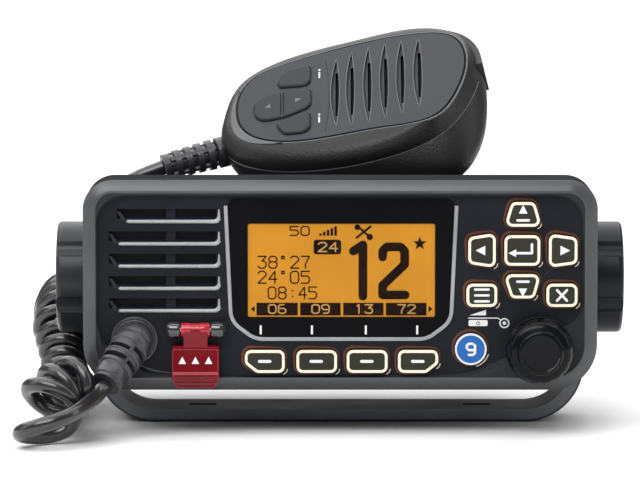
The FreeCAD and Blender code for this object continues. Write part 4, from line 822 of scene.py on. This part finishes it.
def add_distress_cover():
    """The red flip cover: its ribbed plate, its barrel about the hinge and the neck between them."""
    left, right = DISTRESS_X - DISTRESS_HALF, DISTRESS_X + DISTRESS_HALF
    # height, front face, and how far the sides are drawn in
    rows = [(-19.2, -44.3, 0.5), (-19.5, -44.8, 0.1), (-20.4, -44.9, 0), (-26.1, -44.9, 0),
            (-27.3, -45.38, 0), (-28.2, -45.38, 0), (-28.5, -45.05, 0), (-28.9, -45.05, 0),
            (-29.2, -45.38, 0.1), (-30.1, -45.3, 0.45), (-30.4, -45, 0.55), (-30.8, -45, 0.7),
            (-31.1, -45.25, 0.8), (-31.9, -44.9, 1.05), (-32.3, -44.1, 1.3)]
    rings = []
    for up, front, inset in rows:
        low, high = left + inset, right - inset
        ring = ((low, DISTRESS_BACK), (low, front + 0.4), (low + 0.5, front), (high - 0.5, front),
                (high, front + 0.4), (high, DISTRESS_BACK))
        rings.append([(x, y, PANEL_MID + up) for x, y in ring])
    on_cover(loft("distress_cover_plate", rings), "red_plastic", "distress_cover")
    barrel = [(0.8, -4.4), (2.1, -4.4), (2.2, -4.2), (2.2, -1.5), (2.05, -1.3), (2.05, 1.3), (2.2, 1.5),
              (2.2, 4.2), (2.1, 4.4), (0.8, 4.4)]
    hinge = turned("distress_cover_barrel", barrel, HINGE, (1, 0, 0), steps=40)
    # painted light: the barrel in the lit copy of the red plastic
    on_cover(hinge, "red_painted_light", "distress_cover")
    rings = []
    for up, front in ((-14, -45.1), (-15.2, -45.2), (-17.6, -44.9), (-19.8, -44.8)):
        low, high = DISTRESS_X - NECK_HALF, DISTRESS_X + NECK_HALF
        ring = ((low, NECK_BACK), (low, front), (high, front), (high, NECK_BACK))
        rings.append([(x, y, PANEL_MID + up) for x, y in ring])
    on_cover(bevelled(loft("distress_cover_neck", rings), 0.25), "red_plastic", "distress_cover")
    # painted highlights: a bright line round the cover's edge and a bright stripe along its rib
    edge = rounded([(left + 0.25, -20.2), (right - 0.25, -20.2), (right - 0.25, -29), (right - 1.3, -31.8),
                    (left + 1.3, -31.8), (left + 0.25, -29)], 0.6)
    on_cover(band("distress_cover_highlight_line", edge, 0.16, -45.45, -45), "red_painted_light", "distress_cover")
    stripe = [block(left + 0.35, right - 0.35, -28, -27.1)]
    on_cover(flat("distress_cover_highlight_stripe", stripe, -45.43, -45.3), "red_painted_light")
    marks = [arrow(DISTRESS_X + dx, -23.9, 90, 1.45) for dx in (-4, 0, 4)]
    on_cover(flat("distress_cover_marks", marks, -44.96, -44.8), "white_print")


def add_distress_lugs():
    """The glossy lugs that hold the cover's hinge pin."""
    profile = [(0.6, 4.62), (2.2, 4.62), (2.5, 4.9), (2.62, 5.6), (2.62, 7.4), (2.45, 8.3), (1.9, 8.9),
               (1, 9.2), (0.05, 9.25)]
    for side, word in ((-1, "left"), (1, "right")):
        on_fascia(turned("distress_lug_" + word, profile, HINGE, (side, 0, 0), steps=40), "lug_gloss")


# ---- front boot
BOOT_START = (-62.6, -44, PANEL_MID - 17.7)
BOOT_END = (-70.7, -56, 17.5)
BOOT_CORE = 2.9
BOOT_SLOT_DEPTH = 8.0
KNUCKLE = 5.9


def outward(along, turn):
    """The direction that leaves an axis at some degrees from its upper side."""
    up = (Vector((0, 0, 1)) - along * along.z).normalized()
    return up * cos(radians(turn)) + along.cross(up) * sin(radians(turn))


def slotted_boot(name, profile, slots):
    """A strain relief turned about its axis, with slots cut in from two sides down to its core."""
    along = (Vector(BOOT_END) - Vector(BOOT_START)).normalized()
    boot = turned(name, profile, BOOT_START, along)
    cutters = []
    for far, thick, turn, wide in slots:
        out = outward(along, turn)
        for way in (-1, 1):
            centre = Vector(BOOT_START) + along * far + out * way * (BOOT_CORE + BOOT_SLOT_DEPTH / 2)
            cutters.append(cuboid("slot_cutter", centre, (along, out, along.cross(out)),
                                  (thick, BOOT_SLOT_DEPTH, wide)))
    return carve(boot, cutters)


def add_front_boot():
    profile = [
        (0.05, -1), (5.2, -1), (5.9, 0.5), (6.1, 2.2), (5.95, 3.6), (5.55, 3.9), (5.5, 4.2), (5.85, 4.5),
        (5.8, 8.2), (5.5, 8.5), (5.45, 8.8), (5.7, 9.1), (5.45, 12.6), (5, 12.9), (4.95, 13.2),
        (5.1, 13.5), (4.75, 17.2), (4.45, 17.4), (4.4, 17.7), (4.6, 17.9), (4.5, 18.62), (2.4, 18.7),
        (2.35, 0)]
    # how far along the boot, thickness, direction in degrees, width
    slots = [(5.9, 1.7, 80, 8), (7, 1.5, -10, 7), (10.6, 1.8, -12, 7.6), (11, 1.6, 78, 7)]
    foot = [(0.05, 0), (7.2, 0), (7.2, 1.2), (7, 1.6), (6.6, 1.7), (6.45, 1.5), (6.3, 1.7), (6.2, 2.2),
            (5.9, 2.3), (5.75, 2.1), (5.6, 2.35), (5.3, 3), (4.6, 3.6), (3, 4.2), (0.05, 4.4)]
    knuckle = [(up, -far) for far, up in arc(0, 0, KNUCKLE, 15, 165, 15)]
    knuckle = [(0.05, -KNUCKLE)] + knuckle + [(0.05, KNUCKLE)]
    along = Vector(BOOT_END) - Vector(BOOT_START)
    base = (BOOT_START[0], FASCIA_FRONT, BOOT_START[2])
    for piece in (slotted_boot("front_boot_sleeve", profile, slots),
                  turned("front_boot_base", foot, base, (0, -1, 0), steps=72),
                  turned("front_boot_knuckle", knuckle, BOOT_START, along, steps=48)):
        dress(piece, "boot_rubber", "radio", "black_rubber", "cord_boot_front")


# ---- handset
MIC_CENTRE = Vector((5.8, 12, 97.1))
MIC_L = Vector((0.9564, -0.1686, 0.2385))
MIC_W = Vector((0.0024, 0.8211, 0.5708))
MIC_N = Vector((-0.2921, -0.5453, 0.7857))
MIC_FACE = 6.8
MIC_KEY_TOP = MIC_FACE + 0.9
MIC_FACE_EDGE = [
    (-38, 1), (-34.6, -9.5), (-26.5, -16.4), (-9, -21), (10, -22.6), (28, -22),
    (34.2, -12.5), (37.2, 0.5), (33, 15), (21, 20.6), (0, 22.4), (-20, 21.2), (-33.2, 17)]
MIC_SEAM = [
    (-44.3, 1), (-41.5, -12), (-31, -21), (-11, -28), (9.5, -29.3), (27.5, -23.5),
    (36.5, -11), (39.8, 3), (35.5, 18), (22, 27), (0, 28.6), (-22, 27.4), (-37.5, 20.5)]
# place along the face and half length of each hollow, and how far its two sides bulge
MIC_HOLLOWS = [(-5, 17), (0, 18.6), (5.6, 19.2), (11, 19.2), (16.4, 18.8), (22, 17.6)]
MIC_LENS_LEFT, MIC_LENS_RIGHT = 1.85, 1.0
MIC_LENS_FLOOR = 6.0
MIC_LENS_STEPS = 14
MIC_RIM_UP = 4.0
MIC_RIM_INSET = 0.9
MIC_KEYS = {
    "mic_key_high": [(-25, 9.2, 1.8), (-13.4, 6.3, 2.4), (-13.4, 17.4, 2.8), (-21.6, 16.6, 3)],
    "mic_key_rocker": [(-32, -6, 5.4), (-22, -6.7, 9), (-13.2, -4.4, 3), (-13.2, 4.4, 3),
                       (-22, 6.7, 9), (-32, 6, 5.4)],
    "mic_key_low": [(-22, -15.2, 3), (-13.4, -17, 2.8), (-13.4, -6.3, 2.4), (-25.2, -9.2, 1.8)],
}
MIC_BOOT_END = (-55.6, 14.2, 77.4)
MIC_BOOT_WAY = (0.9473, 0.2213, 0.2317)
MIC_BOOT_LENGTH = 27.5


def on_mic(outline, height):
    """Places on the handset, from (l, w), at a height n above its seam."""
    return [tuple(MIC_CENTRE + MIC_L * a + MIC_W * b + MIC_N * height) for a, b in outline]


def mic_outline(corners, inset, steps=8):
    """A smooth closed line through an outline's places drawn in by inset, as a periodic cubic spline."""
    places = np.array([[c * (1 - inset / hypot(*p)) for c in p] for p in corners])
    way = np.roll(places, -1, axis=0) - places
    run = np.hypot(*way.T)[:, None]
    before = np.roll(run, 1)
    unit = np.eye(len(places))
    system = 2 * (before + run) * unit + before * np.roll(unit, -1, 1) + run * np.roll(unit, 1, 1)
    bend = np.linalg.solve(system, 6 * (way / run - np.roll(way / run, 1, axis=0)))
    line = 0
    for ends, far in ((0, 1 - np.arange(steps) / steps), (-1, np.arange(steps) / steps)):
        place, bent = np.roll(places, ends, axis=0), np.roll(bend, ends, axis=0) * run ** 2 / 6
        line = line + far[:, None] * place[:, None] + (far ** 3 - far)[:, None] * bent[:, None]
    return [tuple(spot) for spot in line.reshape(-1, 2).tolist()]


def lens(along, half, inset=0.0):
    """The outline of a pointed oval across the handset's face, fuller on its left."""
    line = []
    for side, wide in ((1, MIC_LENS_RIGHT - inset), (-1, MIC_LENS_LEFT - inset)):
        for k in range(-MIC_LENS_STEPS, MIC_LENS_STEPS):
            share = k / MIC_LENS_STEPS
            line.append((along + side * wide * (1 - share ** 2), side * half * share))
    return line


def on_handset(piece, look):
    return dress(piece, look, "handset", "housing_plastic")


def add_handset_face():
    """The grey face plate with its key windows and the hollows round the sound slits."""
    holes = [grown(rounded(corners), 0.35) for corners in MIC_KEYS.values()]
    holes += [lens(along, half) for along, half in MIC_HOLLOWS]
    edge = mic_outline(MIC_FACE_EDGE, 0.55)
    face = pierced("handset_face", edge, holes, MIC_FACE + 0.15, MIC_FACE - 0.15, on_mic)
    on_handset(face, "handset_face")
    for index, (along, half) in enumerate(MIC_HOLLOWS):
        slit = half * 0.64
        hole = rounded(block(along - 0.58, along + 0.58, -slit, slit), 0.55, 4)
        floor = pierced("handset_hollow_%d" % index, lens(along, half - 0.1, 0.05), [hole],
                        MIC_LENS_FLOOR + 0.05, MIC_LENS_FLOOR - 0.1, on_mic)
        on_handset(floor, "handset_face")
        # painted highlight: a pale band round the edge of each hollow
        rim = grown(lens(along, half), 0.12)
        rim = band("handset_rim_%d" % index, rim, 0.17, MIC_FACE + 0.24, MIC_FACE, on_mic)
        on_handset(rim, "glint_grey")
    cloth = plate("handset_cloth", block(-8.5, 25, -15, 15), 4.6, 4.3, on_mic)
    dress(cloth, "speaker_cloth", "handset", "black_mesh")


def add_handset_lines():
    """The seam between the shells, the dark groove round the face plate, and a painted highlight: the pale
    line just outside the groove.
    """
    # the seam's line stops where the talk bar lies
    outer = mic_outline(MIC_SEAM, -0.12)
    inner = grown(outer, -0.5)
    rows = ((outer, -0.35), (outer, 0.12), (inner, 0.12), (inner, -0.35))
    rings = [[on_mic([line[index]], height)[0] for line, height in rows] for index in range(-18, 54)]
    on_handset(loft("handset_seam", rings, smooth=False), "seam_and_highlight_grey")
    groove = mic_outline(MIC_FACE_EDGE, 0)
    groove = band("handset_face_line", groove, 0.6, MIC_FACE + 0.04, MIC_FACE - 0.5, on_mic)
    on_handset(groove, "inner_black")
    # painted highlight: a pale line along the outside of the groove
    glint = mic_outline(MIC_FACE_EDGE, -0.45)
    glint = band("handset_face_glint", glint, 0.22, MIC_FACE - 0.02, MIC_FACE - 0.6, on_mic)
    on_handset(glint, "glint_grey")


def add_handset_keys():
    """The three keys of the handset, with two lines and two arrows on the rocker."""
    for name, corners in MIC_KEYS.items():
        key = plate(name + "_cap", rounded(corners), MIC_FACE - 2.2, MIC_KEY_TOP, on_mic)
        dress(bevelled(key, 0.75, 5), "handset_key", name, "grey_rubber", name)
    name = "mic_key_rocker"
    lines = stroke([(-23.1, -5.4), (-23.1, 5.2)], 0.25) + stroke([(-22.2, -5.2), (-22.2, 5)], 0.25)
    lines = flat(name + "_line", lines, MIC_KEY_TOP + 0.06, MIC_KEY_TOP - 0.1, on_mic)
    dress(lines, "inner_black", name, "grey_rubber", name)
    signs = [arrow(-27.2, 0, 180, 1.4), arrow(-17.6, 0, 0, 1.4)]
    signs = flat(name + "_signs", signs, MIC_KEY_TOP + 0.05, MIC_KEY_TOP - 0.1, on_mic)
    dress(signs, "seam_and_highlight_grey", name, "grey_rubber", name)


def add_handset_marks():
    """A dash and a dot beside two keys, and the low ridge between the keys and the sound slits, drawn
    darker than the face as painted shade along its step.
    """
    small = []
    for across in (11.5, -11):
        small += stroke([(-10.6, across - 1.9), (-10.6, across + 0.6)], 0.5)
        small.append(disc(-10.6, across + 1.9, 0.38, 12))
    on_handset(flat("handset_marks", small, MIC_FACE + 0.22, MIC_FACE, on_mic), "white_print")
    # the ridge is real, and its darker colour is painted shade along the step
    ridge = stroke([(-8.4 + 1.0 * cos(w / 10), w) for w in range(-18, 19, 2)], 0.35)
    on_handset(flat("handset_ridge", ridge, MIC_FACE + 0.2, MIC_FACE, on_mic), "handset_key")


def add_painted_crescent():
    """A painted highlight: the pale crescent on the slope at the cord's end of the face, where its chamfer
    catches the light.
    """
    inner, outer = mic_outline(MIC_FACE_EDGE, 0), mic_outline(MIC_SEAM, MIC_RIM_INSET)
    rings = []
    first, last = -5, 18
    for index in range(first, last + 1):
        share = sin(pi * (index - first) / (last - first)) ** 0.6
        ring = []
        foot = 0.08 + 0.34 * share
        for down, lift in ((0.08, 0.35), (foot, 0.75), (foot, -0.3), (0.08, -0.3)):
            spot = [a + (b - a) * down for a, b in zip(inner[index], outer[index])]
            ring += on_mic([spot], MIC_FACE + (MIC_RIM_UP - MIC_FACE) * down + lift)
        rings.append(ring)
    on_handset(loft("handset_crescent_highlight", rings, smooth=False), "seam_and_highlight_grey")


def add_mic_boot():
    """The ribbed boot on the handset's cord, with two webs along it."""
    end = Vector(MIC_BOOT_END)
    start = end + Vector(MIC_BOOT_WAY).normalized() * MIC_BOOT_LENGTH
    along = (end - start).normalized()
    profile = [(0.05, 0), (4.6, 0), (4.9, 0.3), (4.9, 9.6), (4.2, 9.9)]
    for rib in range(4):
        far = 10.9 + rib * 3.55
        radius = 4.85 - rib * 0.16
        rows = ((3.2, -0.7), (3.2, 0), (radius, 0.15), (radius, 2.1), (3.2, 2.3))
        profile += [(wide, far + step) for wide, step in rows]
    profile += [(3.1, 25.2), (3.9, 25.4), (4, 27.3), (3.8, MIC_BOOT_LENGTH), (0.05, MIC_BOOT_LENGTH)]
    pieces = [turned("handset_boot", profile, start, end - start, steps=48)]
    for index, turn in enumerate((35, 125)):
        out = outward(along, turn)
        pieces.append(bevelled(cuboid("handset_boot_web_%d" % index, start + along * 17.6,
                                      (along, out, along.cross(out)), (15, 8.2, 1.6)), 0.2))
    for piece in pieces:
        dress(piece, "boot_rubber", "handset", "black_rubber", "mic_boot")


# ---- cord
FRONT_LEAD = [
    BOOT_END, (-72.725, -59, 14.575), (-75.9, -66.2, 12.9), (-79.4, -73.4, 10.9), (-84.5, -77.6, 9.2),
    (-89.9, -78.3, 7.6), (-94.5, -76, 6), (-96.1, -71.8, 4.4), (-94.6, -67.4, 3.2), (-91.2, -64.6, 2.7),
    (-88.2, -62.4, 2.6), (-85.6, -61.4, 2.9)]
# place of the coil's middle line, and the radius of its turns there
COIL_ROUTE = [
    (-88, -64.6, 10.6, 9.6), (-88.7, -62.6, 11.2, 7.4), (-85.2, -58.5, 15.6, 7), (-82.2, -54.9, 17, 6.8),
    (-80.6, -52, 16.8, 6.3), (-82.4, -47.8, 14.6, 5.6), (-85.6, -42.5, 11.2, 4.8), (-86, -30, 9.4, 4.6),
    (-86.2, -8, 9.6, 4.8), (-86.6, 10, 13, 5), (-87.4, 20, 21, 6.6), (-87, 27, 25.6, 9),
    (-84.2, 35, 27.4, 11.2), (-84, 43, 28.4, 12.4), (-82.8, 49.5, 31, 12), (-81.6, 54.5, 38, 9),
    (-81.6, 56.5, 46, 6.5)]
MIC_LEAD = [
    (-76.1, 60.6, 44.8), (-74.8, 58.3, 45.4), (-74.3, 55.4, 46.6), (-74.6, 52.4, 48.8), (-75.2, 49.4, 53),
    (-76.4, 47.4, 58.4), (-76.8, 44.6, 62.6), (-75.8, 39.5, 65), (-74.8, 34, 66.2),
    (-73.2, 26, 67.8), (-70.6, 19.4, 70), (-66.8, 15.2, 72.4), (-61.8, 13.2, 75.2), MIC_BOOT_END]
CORD_D = 4.7
TURN_POINTS = 16
START_TURN = -50


def spline_curve(name, points):
    """A smooth open curve whose control points are the given points."""
    data = bpy.data.curves.new(name, "CURVE")
    data.dimensions = "3D"
    data.resolution_u = 12
    line = data.splines.new("NURBS")
    line.points.add(len(points) - 1)
    for place, point in zip(line.points, points):
        place.co = (*(Vector(point) * MM), 1)
    line.order_u = 3
    line.use_endpoint_u = True
    return placed(name, data)


def followed(points):
    """Points along the smooth line of a route, in millimetres."""
    guide = spline_curve("guide", points)
    line = bpy.data.meshes.new_from_object(guide)
    places = [Vector(v.co) / MM for v in line.vertices]
    bpy.data.curves.remove(guide.data)
    bpy.data.meshes.remove(line)
    return places


def length_of(points):
    return sum((b - a).length for a, b in zip(points, points[1:]))


def pitch_at(radius, far):
    """The first turns and the narrow ones are pulled apart, the others lie close."""
    return 5.0 + 3.0 * exp(-far / 6) + 3.2 * max(0, min(1, (6.2 - radius) / 1.4))


def helix(places, radii, start_angle):
    """Points of a helix about a smooth line of places, with a side vector carried along it."""
    marks = [length_of(places[:end]) for end in range(1, len(places) + 1)]
    side = Vector((1, 0, 0))
    points = []
    seat, far, angle = 0, 0.0, radians(start_angle)
    while far < marks[-1]:
        while marks[seat + 1] < far:
            seat += 1
        along = (places[seat + 1] - places[seat]).normalized()
        middle = places[seat] + along * (far - marks[seat])
        side = (side - along * side.dot(along)).normalized()
        up = side.cross(along)
        points.append(middle + (side * cos(angle) + up * sin(angle)) * radii[seat])
        angle += 2 * pi / TURN_POINTS
        far += pitch_at(radii[seat], far) / TURN_POINTS
    return points


def add_cord():
    middles = followed([spot[:3] for spot in COIL_ROUTE])
    reach = [float(len(middles) - 1) * k / (len(COIL_ROUTE) - 1) for k in range(len(COIL_ROUTE))]
    radii = np.interp(range(len(middles)), reach, [spot[3] for spot in COIL_ROUTE])
    turns = helix(middles, [float(radius) for radius in radii], START_TURN)
    points = FRONT_LEAD + turns + MIC_LEAD
    cord = spline_curve("curly_cord", points)
    cord.data.bevel_depth = CORD_D / 2 * MM
    cord.data.bevel_resolution = 5
    cord.data.resolution_u = 3
    cord.data.use_fill_caps = True
    dress(cord, "cord_jacket", "radio", "cord_rubber", "cord_lead_front", "cord_coil", "cord_lead_mic")
    length = length_of(followed(points)) * MM
    print("cord length", round(length, 3), "m, turns", round(len(turns) / TURN_POINTS, 1))


# ---- build
dress_nodes()
add_camera()
add_studio()
add_window()
add_figures()
for key, key_corners in KEY_OUTLINES.items():
    add_key(key, key_corners)
add_channel_key()
add_fascia_sweeps()
add_bezel()
add_sweep()
add_louvre_lips()
add_knob_label()
add_volume_knob()
add_distress_cover()
add_distress_lugs()
add_front_boot()
add_handset_face()
add_handset_lines()
add_handset_keys()
add_handset_marks()
add_painted_crescent()
add_mic_boot()
add_cord()
